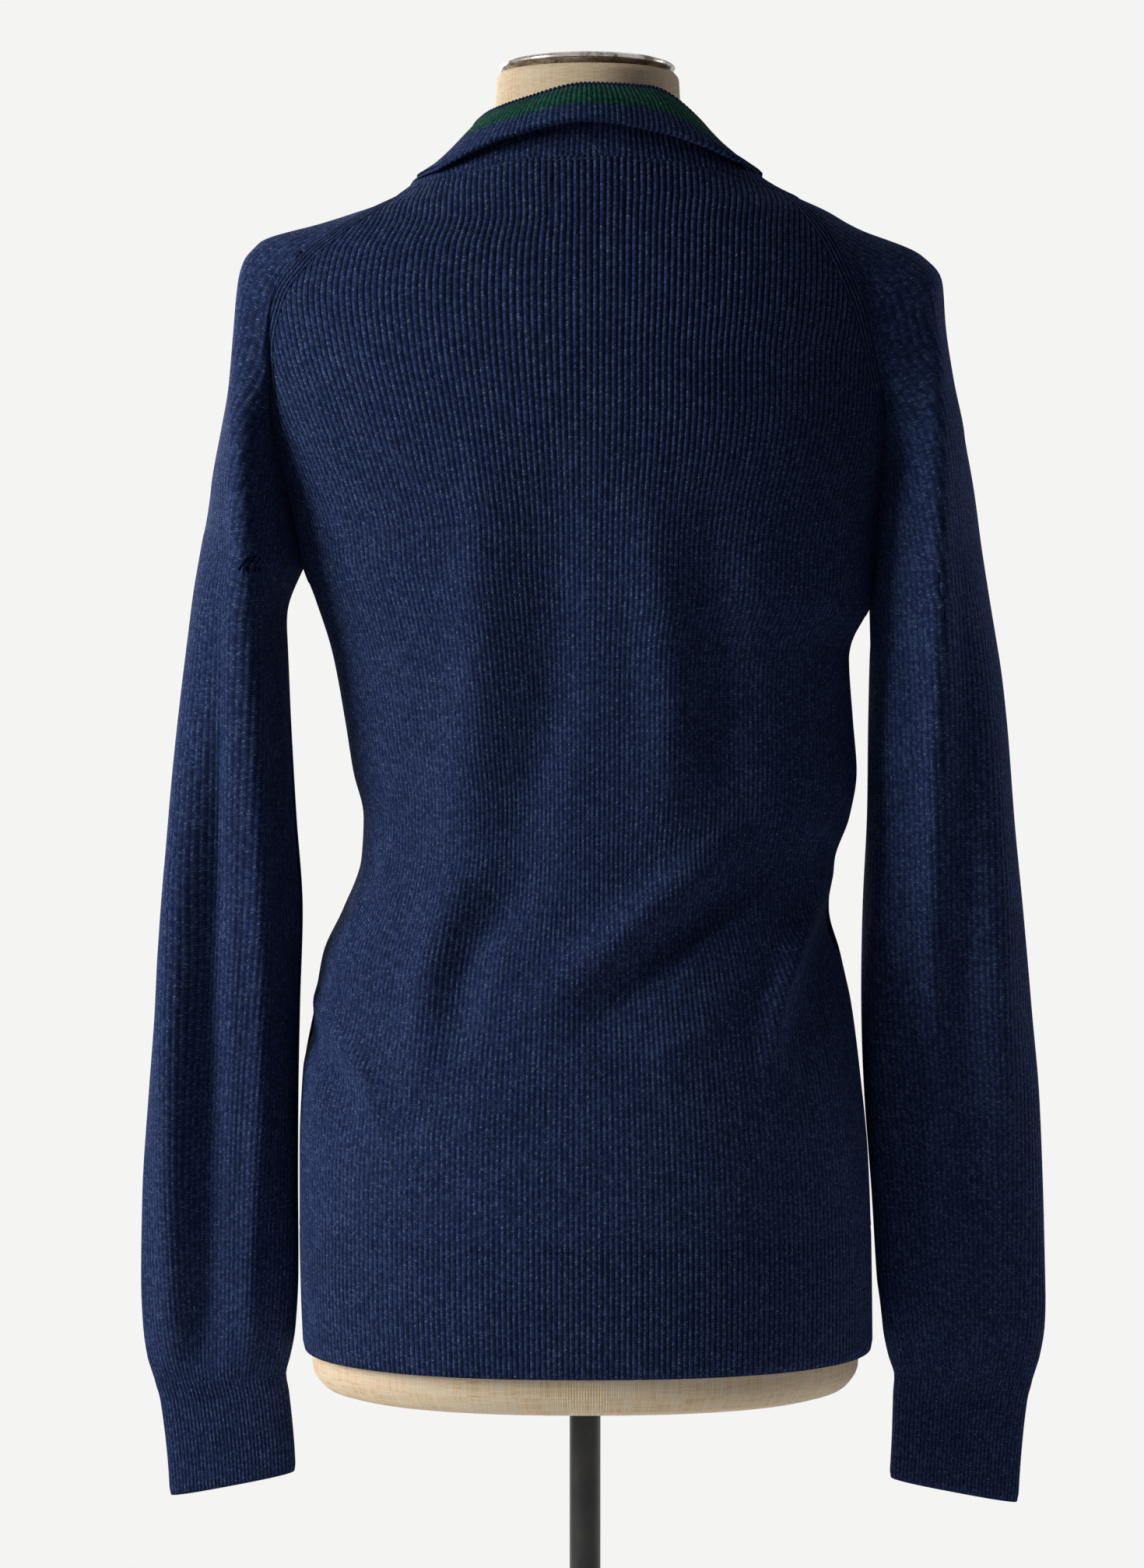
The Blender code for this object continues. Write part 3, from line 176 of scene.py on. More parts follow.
# Neckline: ribs from the middle of the back, height left and right; ribs from the front's edge, height.
NECK_BACK = scaled([1.0, TENTHS, TENTHS], (
    (0, 12843, 12843),
    (8, 12836, 12834),
    (16, 12795, 12800),
    (24, 12752, 12740),
    (30, 12718, 12685),
    (36, 12678, 12640),
))
NECK_FRONT = scaled([1.0, TENTHS], (
    (0, 12100),
    (4, 12145),
    (8, 12205),
    (12, 12275),
    (16, 12352),
    (20, 12430),
    (24, 12505),
    (28, 12575),
    (32, 12630),
))

# Sleeves below the underarm: z, x and y of the middle, half sizes in x and y, squareness, lean.
SLEEVE_LEFT = scaled([TENTHS] * 5 + [100.0, 100.0], (
    (5160, 2080, 60, 368, 100, 270, 19),
    (5300, 2087, 60, 369, 102, 270, 15),
    (5680, 2127, 60, 376, 106, 260, 6),
    (5790, 2150, 50, 384, 116, 250, 4),
    (5900, 2157, 50, 416, 135, 240, 2),
    (6090, 2154, 40, 446, 165, 230, 0),
    (6400, 2150, 30, 460, 200, 225, 0),
    (6900, 2144, 20, 454, 250, 220, 0),
    (7450, 2122, 10, 436, 310, 215, 0),
    (8000, 2092, 0, 418, 375, 210, 0),
    (8550, 2062, 0, 404, 450, 205, 0),
    (9100, 2046, 0, 352, 540, 200, 0),
    (9640, 2032, 10, 306, 625, 200, 0),
    (10100, 2019, 20, 272, 675, 200, 0),
    (10300, 2014, 10, 258, 690, 200, 0),
    (10450, 1982, 0, 276, 698, 200, 0),
))
SLEEVE_RIGHT = scaled([TENTHS] * 5 + [100.0, 100.0], (
    (5120, 2178, 60, 376, 100, 270, 19),
    (5300, 2188, 60, 377, 102, 270, 15),
    (5680, 2214, 60, 392, 106, 260, 6),
    (5790, 2230, 50, 404, 116, 250, 4),
    (5900, 2232, 50, 440, 135, 240, 2),
    (6090, 2230, 40, 474, 165, 230, 0),
    (6400, 2214, 30, 490, 200, 225, 0),
    (6900, 2194, 20, 494, 250, 220, 0),
    (7450, 2162, 10, 500, 310, 215, 0),
    (8000, 2126, 0, 484, 375, 210, 0),
    (8550, 2104, 0, 455, 450, 205, 0),
    (9100, 2088, 0, 414, 540, 200, 0),
    (9640, 2066, 10, 392, 625, 200, 0),
    (10000, 2046, 10, 370, 670, 200, 0),
    (10200, 2028, 0, 346, 690, 200, 0),
))
CUFF_TOP_Z = 0.5790
CUFF_LOW_Z = {-1: 0.516, 1: 0.512}
TUBE_TOP_Z = {-1: 1.039, 1: 1.010}

# The sleeve's outer ridge above the underarm, a row for each of the raglan seam's: x and z left, x and z
# right, y, then the depth of the sleeve's oval or, where that is 0, its turn in degrees.
RIDGE = scaled([TENTHS] * 6 + [1.0], (
    (2243, 10560, 2352, 10370, 0, 700, 0),
    (2205, 10820, 2308, 10660, 0, 695, 0),
    (2160, 11090, 2262, 11000, 0, 680, 0),
    (2105, 11360, 2200, 11320, 0, 660, 0),
    (2040, 11640, 2130, 11640, 0, 640, 0),
    (1992, 11940, 2088, 11940, 0, 620, 0),
    (1965, 12220, 2066, 12210, 0, 615, 0),
    (1885, 12406, 1950, 12355, 0, 0, 95),
    (1530, 12532, 1580, 12505, 40, 0, 84),
    (1045, 12705, 1120, 12700, 120, 0, 45),
))
FIRST_TURNED_ROW = 7

# The collar by its place round the neck, from its left end to its right one in hundredths: x, y and z of
# its tuck, its roll, its band and its rim.
COLLAR = scaled([100.0] + [TENTHS] * 12, (
    (-100, -410, 1020, 12180, -440, 1065, 12250, -500, 1060, 12450, -500, 980, 12680),
    (-80, -790, 800, 12425, -800, 830, 12480, -750, 760, 12660, -620, 650, 12890),
    (-60, -1000, 310, 12715, -1000, 325, 12745, -790, 300, 12865, -665, 280, 12990),
    (-45, -1025, -70, 12730, -1000, -75, 12765, -765, -70, 12940, -655, -40, 13080),
    (-30, -840, -400, 12825, -860, -485, 12790, -700, -425, 12985, -575, -320, 13130),
    (-15, -430, -600, 12985, -445, -735, 12955, -400, -655, 13080, -330, -505, 13200),
    (0, 10, -668, 13060, 10, -812, 13045, 10, -735, 13165, 10, -580, 13268),
    (15, 445, -600, 13000, 465, -735, 12980, 430, -655, 13120, 360, -505, 13262),
    (30, 880, -410, 12850, 915, -500, 12820, 770, -450, 12955, 650, -340, 13100),
    (45, 1070, -110, 12730, 1030, -100, 12765, 910, -80, 12850, 790, -50, 12955),
    (60, 1050, 300, 12710, 1030, 315, 12750, 920, 300, 12840, 790, 280, 12935),
    (80, 800, 800, 12425, 810, 830, 12480, 770, 760, 12650, 650, 650, 12860),
    (100, 410, 1020, 12180, 440, 1065, 12250, 500, 1060, 12440, 510, 980, 12660),
))

# The dress form: z, half width, depths at the back and front, squareness.
FORM = scaled([TENTHS] * 4 + [100.0], (
    (5755, 1440, 890, 860, 230),
    (5790, 1535, 985, 955, 230),
    (5900, 1600, 1050, 1010, 230),
    (6200, 1612, 1075, 1030, 230),
    (6700, 1605, 1080, 1030, 230),
    (7200, 1570, 1060, 1000, 225),
    (7700, 1500, 1000, 950, 220),
    (8200, 1380, 910, 900, 220),
    (8700, 1230, 830, 880, 220),
    (9100, 1195, 790, 885, 220),
    (9600, 1275, 790, 940, 220),
    (10100, 1370, 850, 1000, 225),
    (10500, 1450, 910, 1050, 230),
    (10900, 1540, 950, 1070, 230),
    (11300, 1620, 990, 1065, 230),
    (11700, 1680, 985, 1020, 230),
    (12000, 1690, 940, 956, 230),
    (12200, 1650, 912, 885, 230),
    (12350, 1540, 872, 820, 225),
    (12470, 1360, 800, 715, 220),
    (12570, 1140, 755, 640, 220),
    (12670, 890, 690, 590, 215),
    (12850, 620, 520, 560, 205),
    (13050, 550, 460, 590, 200),
    (13250, 537, 450, 600, 200),
    (13350, 530, 445, 595, 200),
    (13380, 505, 420, 570, 200),
))

# Height of the body's ribs: z, height in hundredths of a millimetre.
BODY_RELIEF = scaled([TENTHS, 100000.0], (
    (6000, 60),
    (6710, 60),
    (6740, 36),
    (8000, 30),
    (9500, 30),
    (10600, 42),
    (11500, 58),
    (12850, 70),
))


# ---- creases: soft troughs and ridges, each along a line ----
def creases(*rows):
    """Creases from tenths of a millimetre: half width, height, then x and z of each place on the line."""
    return [(width / TENTHS, height / TENTHS, [(x / TENTHS, z / TENTHS) for x, z in zip(line[::2], line[1::2])])
            for width, height, *line in rows]


BACK_CREASES = creases(
    (115, -72, 40, 8000, 370, 8290, 770, 8640, 1000, 8860),
    (115, 96, -300, 8060, -85, 8235, 225, 8475, 630, 8835, 820, 9050),
    (110, -54, -740, 7800, -705, 8147, -650, 8389, -500, 8565, -240, 8800),
    (110, 56, -980, 7760, -915, 8147, -865, 8389, -710, 8720, -440, 8960),
    (65, 68, 1380, 8760, 1180, 8360, 1075, 8060, 1020, 7700),
    (110, -48, 1500, 8620, 1360, 8260, 1260, 7900, 1230, 7600),
    (26, 20, -1240, 9120, -1160, 8840, -1080, 8580),
    (26, 18, -1260, 8860, -1310, 8620, -1360, 8400),
    (50, 44, -1580, 8060, -1440, 7900, -1260, 7690, -1160, 7440),
    (80, -46, -1640, 7900, -1500, 7740, -1360, 7500, -1320, 7340),
    (70, -22, -1160, 7560, -800, 7500, -400, 7580),
    (80, 16, -1200, 7380, -800, 7340, -300, 7440),
    (165, 62, -580, 11100, -615, 9780, -740, 8890, -800, 8600),
    (165, -50, -160, 11100, -180, 9780, -400, 8890, -600, 8450),
    (140, 52, 340, 10900, 470, 9780, 440, 9060),
    (140, -52, 720, 10800, 770, 9780, 830, 9060),
    (90, 26, 340, 7740, 620, 7940, 920, 8260),
    (120, -24, -600, 7300, -200, 7500, 300, 7620),
    (60, 18, -1180, 11300, -900, 11060, -600, 11000),
)
FRONT_CREASES = creases(
    (150, -50, -300, 8300, -700, 8560, -1100, 9000),
    (120, 40, -340, 8060, -760, 8320, -1180, 8720),
    (140, -38, -500, 7800, -920, 8020, -1300, 8300),
    (150, -50, 340, 8150, 700, 8420, 1100, 8850),
    (130, 40, 500, 7700, 900, 7900, 1250, 8150),
    (40, 14, 1180, 9000, 1240, 8700, 1320, 8460),
    (220, -28, -850, 11200, -600, 10000),
    (220, -28, 850, 11200, 600, 10000),
    (200, 22, -1180, 10900, -960, 9900),
    (200, 22, 1180, 10900, 960, 9900),
)
SLEEVE_BACK_CREASES = {
    -1: creases(
        (70, 66, -1950, 12300, -1950, 11100, -1905, 9780, -1885, 8890, -1875, 8270, -1895, 7340, -1955, 6400,
         -1975, 5600),
        (110, -120, -2120, 10850, -2140, 9780, -2155, 8890, -2180, 8270, -2200, 7340, -2220, 6400, -2240,
         5450),
        (95, 85, -2225, 10700, -2265, 9780, -2315, 8890, -2365, 8270, -2410, 7340, -2420, 6400, -2420, 5600),
        (100, -18, -1720, 9600, -1700, 8200, -1700, 7000),
    ),
    1: creases(
        (70, 42, 1980, 12150, 1995, 11100, 1990, 9600, 1990, 8300, 2000, 7340, 2030, 6200),
        (120, -70, 2160, 11200, 2190, 9780, 2190, 8270, 2200, 7200, 2230, 6000),
        (90, 26, 2360, 9600, 2410, 8000, 2440, 6400),
        (120, 30, 1720, 10400, 1710, 9000, 1700, 7800, 1710, 6400),
    ),
}
SLEEVE_FRONT_CREASES = {
    -1: creases(
        (120, 32, -1960, 11200, -1980, 9000, -2000, 6800),
        (140, -45, -2180, 10200, -2240, 8600, -2260, 6600),
    ),
    1: creases(
        (120, 34, 2000, 11200, 2020, 9000, 2050, 6800),
        (140, -45, 2230, 10200, 2290, 8600, 2310, 6600),
    ),
}


# ---- reading the tables ----
def on_table(table, places):
    """Columns of a table at many places, on smooth curves that never overshoot a row."""
    rows = np.array(table, dtype=float)
    at = np.clip(np.asarray(places, dtype=float), rows[0, 0], rows[-1, 0])
    steps = np.diff(rows[:, 0])[:, None]
    rises = np.diff(rows[:, 1:], axis=0) / steps
    slopes = np.vstack([rises[:1], rises])
    before, after = rises[:-1], rises[1:]
    keeps_on = before * after > 0.0
    slopes[1:-1] = np.where(keeps_on, 2.0 * before * after / np.where(keeps_on, before + after, 1.0), 0.0)
    low = np.clip(np.searchsorted(rows[:, 0], at, side="left") - 1, 0, len(rows) - 2)
    share = ((at - rows[low, 0]) / steps[low, 0])[..., None]
    step = steps[low]
    cube = share ** 3
    square = share ** 2
    values = (rows[low, 1:] * (2 * cube - 3 * square + 1) + slopes[low] * step * (cube - 2 * square + share)
              + rows[low + 1, 1:] * (3 * square - 2 * cube) + slopes[low + 1] * step * (cube - square))
    return [values[..., column] for column in range(values.shape[-1])]


def smooth_step(share):
    share = np.clip(share, 0.0, 1.0)
    return share * share * (3.0 - 2.0 * share)


def unit(vectors):
    lengths = np.linalg.norm(vectors, axis=-1, keepdims=True)
    return vectors / np.where(lengths > 1e-12, lengths, 1.0)


def summed(lengths):
    """Running totals of lengths, from 0."""
    lengths = np.asarray(lengths)
    return np.concatenate([np.zeros((1, *lengths.shape[1:])), np.cumsum(lengths, axis=0)])


def in_steps(start, *parts):
    """Values from `start` on, evenly spaced within each part, which is its end and how many values it has."""
    values = []
    for end, count in parts:
        values.append(np.linspace(start, end, count, endpoint=(end, count) == parts[-1]))
        start = end
    return np.concatenate(values)


def between(chart, row, column):
    """Values of a chart between its rows and columns."""
    row = np.clip(row, 0.0, chart.shape[0] - 1.000001)
    column = np.clip(column, 0.0, chart.shape[1] - 1.000001)
    low_row = row.astype(int)
    low_column = column.astype(int)
    up = row - low_row
    along = column - low_column
    if chart.ndim == 3:
        up = up[..., None]
        along = along[..., None]
    low = chart[low_row, low_column] * (1 - along) + chart[low_row, low_column + 1] * along
    high = chart[low_row + 1, low_column] * (1 - along) + chart[low_row + 1, low_column + 1] * along
    return low * (1 - up) + high * up


# ---- the body's surface ----
LEVEL_STEP = 0.001
LEVELS = np.arange(0.594, 1.292, LEVEL_STEP)
CHART_TURNS = np.linspace(0.0, 0.5 * math.pi, 161)
CHART_SHARES = np.linspace(0.0, 1.0, 161)
CREASE_ENDS = 0.25        # share of its height that a crease keeps at its ends


def body_sizes(side, face, z):
    """Half width, depth and squareness of the cloth's section on one side (-1 left) and face (-1 back)."""
    left, right, back, front, square = on_table(BODY, z)
    return np.where(np.asarray(side) < 0, left, right), np.where(np.asarray(face) < 0, back, front), square


def section_chart(side, face):
    """A quarter of the body at every level: points at even lengths, lengths at even turns, whole lengths."""
    half, depth, square = body_sizes(side, face, LEVELS)
    power = (2.0 / square)[:, None]
    x = half[:, None] * np.sin(CHART_TURNS) ** power
    y = depth[:, None] * np.cos(CHART_TURNS).clip(0.0) ** power
    lengths = summed(np.hypot(np.diff(x), np.diff(y)).T).T
    even = np.empty((len(LEVELS), len(CHART_SHARES), 2))
    for level in range(len(LEVELS)):
        reaches = CHART_SHARES * lengths[level, -1]
        even[level, :, 0] = np.interp(reaches, lengths[level], x[level])
        even[level, :, 1] = np.interp(reaches, lengths[level], y[level])
    return even, lengths


CHARTS = {(side, face): section_chart(side, face) for side in (-1, 1) for face in (-1, 1)}


def quarter_length(side, face, z):
    lengths = CHARTS[side, face][1][:, -1]
    return np.interp(z, LEVELS, lengths)


def reach_at(side, face, x, z):
    """How far along its section, from the centre line, the cloth has come at this x."""
    half, _, square = body_sizes(side, face, z)
    turn = np.arcsin(np.clip(np.abs(x) / half, 0.0, 1.0) ** (square / 2.0))
    column = turn / (0.5 * math.pi) * (len(CHART_TURNS) - 1)
    return between(CHARTS[side, face][1], (z - LEVELS[0]) / LEVEL_STEP, column)


def on_body(side, face, reach, z):
    """Points of the cloth's surface at a height, `reach` along the section from its centre line."""
    share = np.clip(reach / quarter_length(side, face, z), 0.0, 1.0)
    flat = between(CHARTS[side, face][0], (z - LEVELS[0]) / LEVEL_STEP, share * (len(CHART_SHARES) - 1))
    return np.stack([side * flat[..., 0], face * flat[..., 1], z + 0.0 * reach], axis=-1)


def section_value(x, y, z):
    half, depth, square = body_sizes(np.where(x < 0, -1, 1), np.where(y < 0, -1, 1), z)
    return np.abs(x / half) ** square + np.abs(y / depth) ** square


def outward(points):
    """Outward directions of the body's cloth."""
    step = 0.0005
    return unit(np.stack([
        section_value(*np.moveaxis(points + move, -1, 0)) - section_value(*np.moveaxis(points - move, -1, 0))
        for move in step * np.eye(3)], axis=-1))


def laid_on_body(points):
    """Points brought level with the body's surface, towards or away from its axis."""
    x, y, z = points[..., 0], points[..., 1], points[..., 2]
    square = on_table(BODY, z)[-1]
    scale = section_value(x, y, z) ** (-1.0 / square)
    return np.stack([x * scale, y * scale, z], axis=-1)


def crease_height(creases, x, z):
    """Height of the creases at each place: soft troughs and ridges that fade towards their ends."""
    total = np.zeros_like(x)
    for half_width, height, line in creases:
        spans = [math.dist(start, end) for start, end in zip(line, line[1:])]
        away = np.full_like(x, np.inf)
        along = np.zeros_like(x)
        before = 0.0
        for (x0, z0), (x1, z1), span in zip(line, line[1:], spans):
            share = np.clip(((x - x0) * (x1 - x0) + (z - z0) * (z1 - z0)) / span ** 2, 0.0, 1.0)
            near = np.hypot(x - x0 - share * (x1 - x0), z - z0 - share * (z1 - z0))
            closer = near < away
            away = np.where(closer, near, away)
            along = np.where(closer, before + share * span, along)
            before += span
        fade = CREASE_ENDS + (1.0 - CREASE_ENDS) * np.sin(math.pi * np.clip(along / before, 0.0, 1.0))
        total += height * np.exp(-(away / half_width) ** 2) * fade
    return total


# ---- how the ribs run on the panels ----
RIB_LEVELS = (0.596, 0.65, 0.70, 0.75, 0.80, 0.83, 0.86, 0.89, 0.92, 0.95, 0.98, 1.01, 1.03)
RAGLAN_STEPS = 410
PAST_NECK = 1.2           # rows by which the lines beside a raglan seam are carried past its table


def raglan_place(face, side, row):
    """x and z of a raglan seam, carried straight on past its last row."""
    table = RAGLAN_BACK if face < 0 else RAGLAN_FRONT
    first = 0 if side < 0 else 2
    x, z = on_table(table, row)[first:first + 2]
    past = np.maximum(np.asarray(row) - CUT_ROWS, 0.0)
    step = 0.2
    x_end, z_end = on_table(table, np.array([CUT_ROWS - step, CUT_ROWS]))[first:first + 2]
    return x + past * (x_end[1] - x_end[0]) / step, z + past * (z_end[1] - z_end[0]) / step


def open_edge(z):
    """How far the front's edge leans from the middle at a height."""
    share = (z - OPEN_FROM_Z) / (NECK_FRONT[0][1] - OPEN_FROM_Z)
    return BAND_GAP + (FRONT_EDGE_TOP - BAND_GAP) * smooth_step(np.clip(share, 0.0, 1.0) * 0.5) * 2.0


def panel_ribs(face):
    return BACK_RIBS // 2 if face < 0 else FRONT_RIBS


def edge_reach(face, z):
    return 0.0 * z if face < 0 else open_edge(z)


def rib_table(face, side):
    """Width of one rib over height."""
    count = panel_ribs(face)
    under = float(raglan_place(face, side, 0.0)[1])
    levels = np.array([*RIB_LEVELS, under])
    widths = (quarter_length(side, face, levels) - edge_reach(face, levels)) / count
    rows = list(zip(levels, widths))
    cut = np.arange(1.0, CUT_ROWS + 1)
    x, z = raglan_place(face, side, cut)
    widths = (reach_at(side, face, x, z) - edge_reach(face, z)) / (count - cut * COLUMN_RIBS)
    return rows + list(zip(z, widths))


RIB_WIDTHS = {(side, face): rib_table(face, side) for side in (-1, 1) for face in (-1, 1)}


def rib_reach(side, face, ribs, z):
    """Place of a rib on its section, counted from the middle of the back or from the front's edge."""
    return edge_reach(face, z) + ribs * on_table(RIB_WIDTHS[side, face], z)[0]


def rib_at(side, face, points):
    """Which rib a point of the cloth is on."""
    z = points[..., 2]
    reach = reach_at(side, face, points[..., 0], z)
    return (reach - edge_reach(face, z)) / on_table(RIB_WIDTHS[side, face], z)[0]


def neck_height(side, face, ribs):
    if face < 0:
        return on_table(NECK_BACK, ribs)[0 if side < 0 else 1]
    return on_table(NECK_FRONT, ribs)[0]


def raglan_frame(side, face, row):
    """Points of a raglan seam, and the direction from each into its panel."""
    x, z = raglan_place(face, side, row)
    points = on_body(side, face, reach_at(side, face, x, z), z)
    along = unit(np.gradient(points, axis=0))
    into = unit(np.cross(outward(points), along))
    inner = on_body(side, face, rib_reach(side, face, panel_ribs(face) - 10.0 - COLUMN_RIBS * row, z), z)
    if np.sum(into * (inner - points)) < 0.0:
        into = -into
    return points, into


def fashion_lines(side, face):
    """Lines beside a raglan seam, from the seam to the fashioning's far edge, each up to the neckline."""
    rows = np.linspace(0.0, CUT_ROWS + PAST_NECK, RAGLAN_STEPS)
    points, into = raglan_frame(side, face, rows)
    lines = []
    for offset in np.linspace(0.0, FASHION_WIDTH, FASHION_RIBS * STEPS_PER_RIB + 1):
        line = laid_on_body(points + into * offset)
        above = line[:, 2] - neck_height(side, face, rib_at(side, face, line))
        over = np.flatnonzero((above > 0.0) & (rows > CUT_ROWS - 3))
        last = over[0] if len(over) else len(rows) - 1
        share = -above[last - 1] / max(above[last] - above[last - 1], 1e-9)
        lines.append(np.vstack([line[:last], line[last - 1] + (line[last] - line[last - 1]) * share]))
    return lines


# ---- knitted shells ----
RIB_FLATNESS = 3.5        # how broad and flat a rib's crown is
FULL_DEPTH = 0.0007       # rib height whose valleys get the painted shade in full
LEAST_SHADE = 0.15        # share of that painted shade in knit without any relief


def rib_profile(ribs):
    """Height of a rib across its width, from its valley at whole numbers to its crown."""
    return 1.0 - np.abs(2.0 * (ribs - np.floor(ribs)) - 1.0) ** RIB_FLATNESS


def grid_normals(points):
    return unit(np.cross(np.gradient(points, axis=1), np.gradient(points, axis=0)))


def tube_normals(points):
    """Normals of a tube's points, away from the middle of each row."""
    out = grid_normals(points)
    return -out if np.sum(out * (points - points.mean(axis=1, keepdims=True))) < 0.0 else out


def resampled(line, shares):
    """Points of a line at shares of its length, and their lengths."""
    lengths = summed(np.linalg.norm(np.diff(line, axis=0), axis=1))
    at = shares * lengths[-1]
    return np.stack([np.interp(at, lengths, line[:, axis]) for axis in range(3)], axis=-1), at


def dip(away, depth, reach):
    """How far cloth sinks beside a seam, or rolls in at an edge."""
    return -depth * np.clip(1.0 - away / reach, 0.0, 1.0) ** 2


def knit_sheet(points, out, ribs, courses, relief, wall=WALL):
    """One shell of knit: where its outer and inner points lie, its rib and course numbers, and how much painted
    shade its rib valleys get.
    """
    ribs, courses, relief = (np.broadcast_to(values, points.shape[:2]) for values in (ribs, courses, relief))
    return {
        "outer": points + out * (relief * rib_profile(ribs))[..., None],
        "inner": (points - out * wall)[:, ::INNER_EVERY],
        "ribs": ribs,
        "courses": courses,
        # share of painted shade in the rib valleys, from the ribs' height
        "depth": LEAST_SHADE + (1.0 - LEAST_SHADE) * relief / FULL_DEPTH,
    }


def turned_out(sheet):
    """The same shell with its columns in the order that turns its faces outwards."""
    outer = sheet["outer"]
    row = outer.shape[0] // 2
    column = outer.shape[1] // 2 // INNER_EVERY
    at = column * INNER_EVERY
    normal = np.cross(outer[row, at + INNER_EVERY // 2] - outer[row, at], outer[row + 1, at] - outer[row, at])
    if np.dot(normal, outer[row, at] - sheet["inner"][row, column]) < 0.0:
        return {name: values[:, ::-1] for name, values in sheet.items()}
    return sheet


def corners(grid):
    """The four corners of every cell of a grid, in turn."""
    return np.stack([grid[:-1, :-1], grid[:-1, 1:], grid[1:, 1:], grid[1:, :-1]], axis=2)


def shell_faces(outer, inner):
    """Faces of a closed shell between two grids of point numbers, the inner one with fewer columns."""
    faces = corners(outer).reshape(-1, 4).tolist() + corners(inner).reshape(-1, 4)[:, ::-1].tolist()
    outer, inner = outer.tolist(), inner.tolist()
    for row, order in ((0, -1), (-1, 1)):
        for column, near in enumerate(inner[row][:-1]):
            low = column * INNER_EVERY
            face = outer[row][low:low + INNER_EVERY + 1] + [inner[row][column + 1], near]
            faces.append(face[::order])
    for (out, inn), (out_up, inn_up) in zip(zip(outer, inner), zip(outer[1:], inner[1:])):
        faces.append([out[0], out_up[0], inn_up[0], inn[0]])
        faces.append([out[-1], inn[-1], inn_up[-1], out_up[-1]])
    return faces


def knit_object(name, sheets, material):
    """One piece of knit from its shells, with ribs and courses as its UV map and each point's share of painted
    valley shade kept.
    """
    places, counted, depths, faces = [], [], [], []
    start = 0
    for sheet in map(turned_out, sheets):
        numbers = []
        for values, every in ((sheet["outer"], 1), (sheet["inner"], INNER_EVERY)):
            count = values.shape[0] * values.shape[1]
            numbers.append(start + np.arange(count).reshape(values.shape[:2]))
            start += count
            places.append(values.reshape(-1, 3))
            counted.append(np.stack([sheet[part][:, ::every].ravel() for part in ("ribs", "courses")], axis=-1))
            depths.append(sheet["depth"][:, ::every].ravel())
        faces += shell_faces(*numbers)
    mesh = bpy.data.meshes.new(name)
    mesh.from_pydata(np.concatenate(places).tolist(), [], faces)
    points = np.empty(len(mesh.loops), dtype=np.int32)
    mesh.loops.foreach_get("vertex_index", points)
    set_map(mesh, "knit", np.concatenate(counted)[points])
    # each point's share of painted shade in the rib valleys
    depth = mesh.attributes.new("rib_depth", "FLOAT", "POINT")
    depth.data.foreach_set("value", np.concatenate(depths).astype(np.float32))
    return shown_object(name, mesh, material, 85.0)


def set_map(mesh, name, places):
    mesh.uv_layers.new(name=name).data.foreach_set("uv", places.astype(np.float32).ravel())


def linked(name, data):
    made = bpy.data.objects.new(name, data)
    bpy.context.scene.collection.objects.link(made)
    return made


def shown_object(name, mesh, material, sharp_degrees=40.0):
    mesh.materials.append(material)
    mesh.shade_smooth()
    mesh.set_sharp_from_angle(angle=math.radians(sharp_degrees))
    return linked(name, mesh)


# ---- body panels and hem ----
PANEL_ROWS = 132
PANEL_FINE_FROM = 0.90    # share of a panel's height above which its rows stand closer
PANEL_FINE_ROWS = 38
FASHION_ROWS = 120
HEM_ROWS = 16
TAPE = (-0.0191, 0.0218, 1.2386, 1.2713)  # left, right, low and high edge of what is sewn inside the neck
TAPE_SOFT = 0.001         # half of the length over which its outline fades at a corner
TAPE_ACROSS = (0.0011, 0.0014)    # depth and half width of the dips along its low and high edges
TAPE_UPRIGHT = (0.0007, 0.0012)   # and along its left and right edges


def creased(face, points, out):
    """The body's cloth with its creases."""
    creases = BACK_CREASES if face < 0 else FRONT_CREASES
    return points + out * crease_height(creases, points[..., 0], points[..., 2])[..., None]


def panel_half(side, face):
    """The ribs of one side of a panel, from its side seam inwards, up to the fashioning or the neckline."""
    count = panel_ribs(face)
    fashion = fashion_lines(side, face)
    edge = fashion[-1]
    edge_ribs = rib_at(side, face, edge)
    ribs = np.linspace(count, 0.0, count * STEPS_PER_RIB + 1)
    top = np.interp(ribs, edge_ribs[::-1], edge[::-1, 2])
    top = np.where(ribs > edge_ribs[0], fashion[0][0, 2], top)
    top = np.where(ribs < edge_ribs[-1], neck_height(side, face, ribs), top)
    shares = in_steps(0.0, (PANEL_FINE_FROM, PANEL_ROWS - PANEL_FINE_ROWS), (1.0, PANEL_FINE_ROWS))
    z = HEM_TOP + (top - HEM_TOP)[None] * shares[:, None]
    return on_body(side, face, rib_reach(side, face, ribs[None], z), z), side * ribs[None] + 0.0 * z, z


def tape_press(points):
    """How something flat sewn inside the neck draws the ribs in along its outline."""
    x, z = points[..., 0], points[..., 2]
    left, right, low, high = TAPE

    def inside(place, first, last):
        return (smooth_step((place - first + TAPE_SOFT) / (2 * TAPE_SOFT))
                * smooth_step((last + TAPE_SOFT - place) / (2 * TAPE_SOFT)))

    pressed = np.zeros_like(x)
    for edges, (depth, reach), away, within in (((low, high), TAPE_ACROSS, z, inside(x, left, right)),
                                                ((left, right), TAPE_UPRIGHT, x, inside(z, low, high))):
        for edge in edges:
            pressed -= depth * np.exp(-((away - edge) / reach) ** 2) * within
    return pressed


def panel_sheet(face, points, ribs, z):
    out = outward(points)
    points = creased(face, points, out)
    if face < 0:
        points = points + out * tape_press(points)[..., None]
    points[-1] -= 0.0002 * out[-1]
    return knit_sheet(points, out, ribs, z / COURSE, on_table(BODY_RELIEF, z)[0])


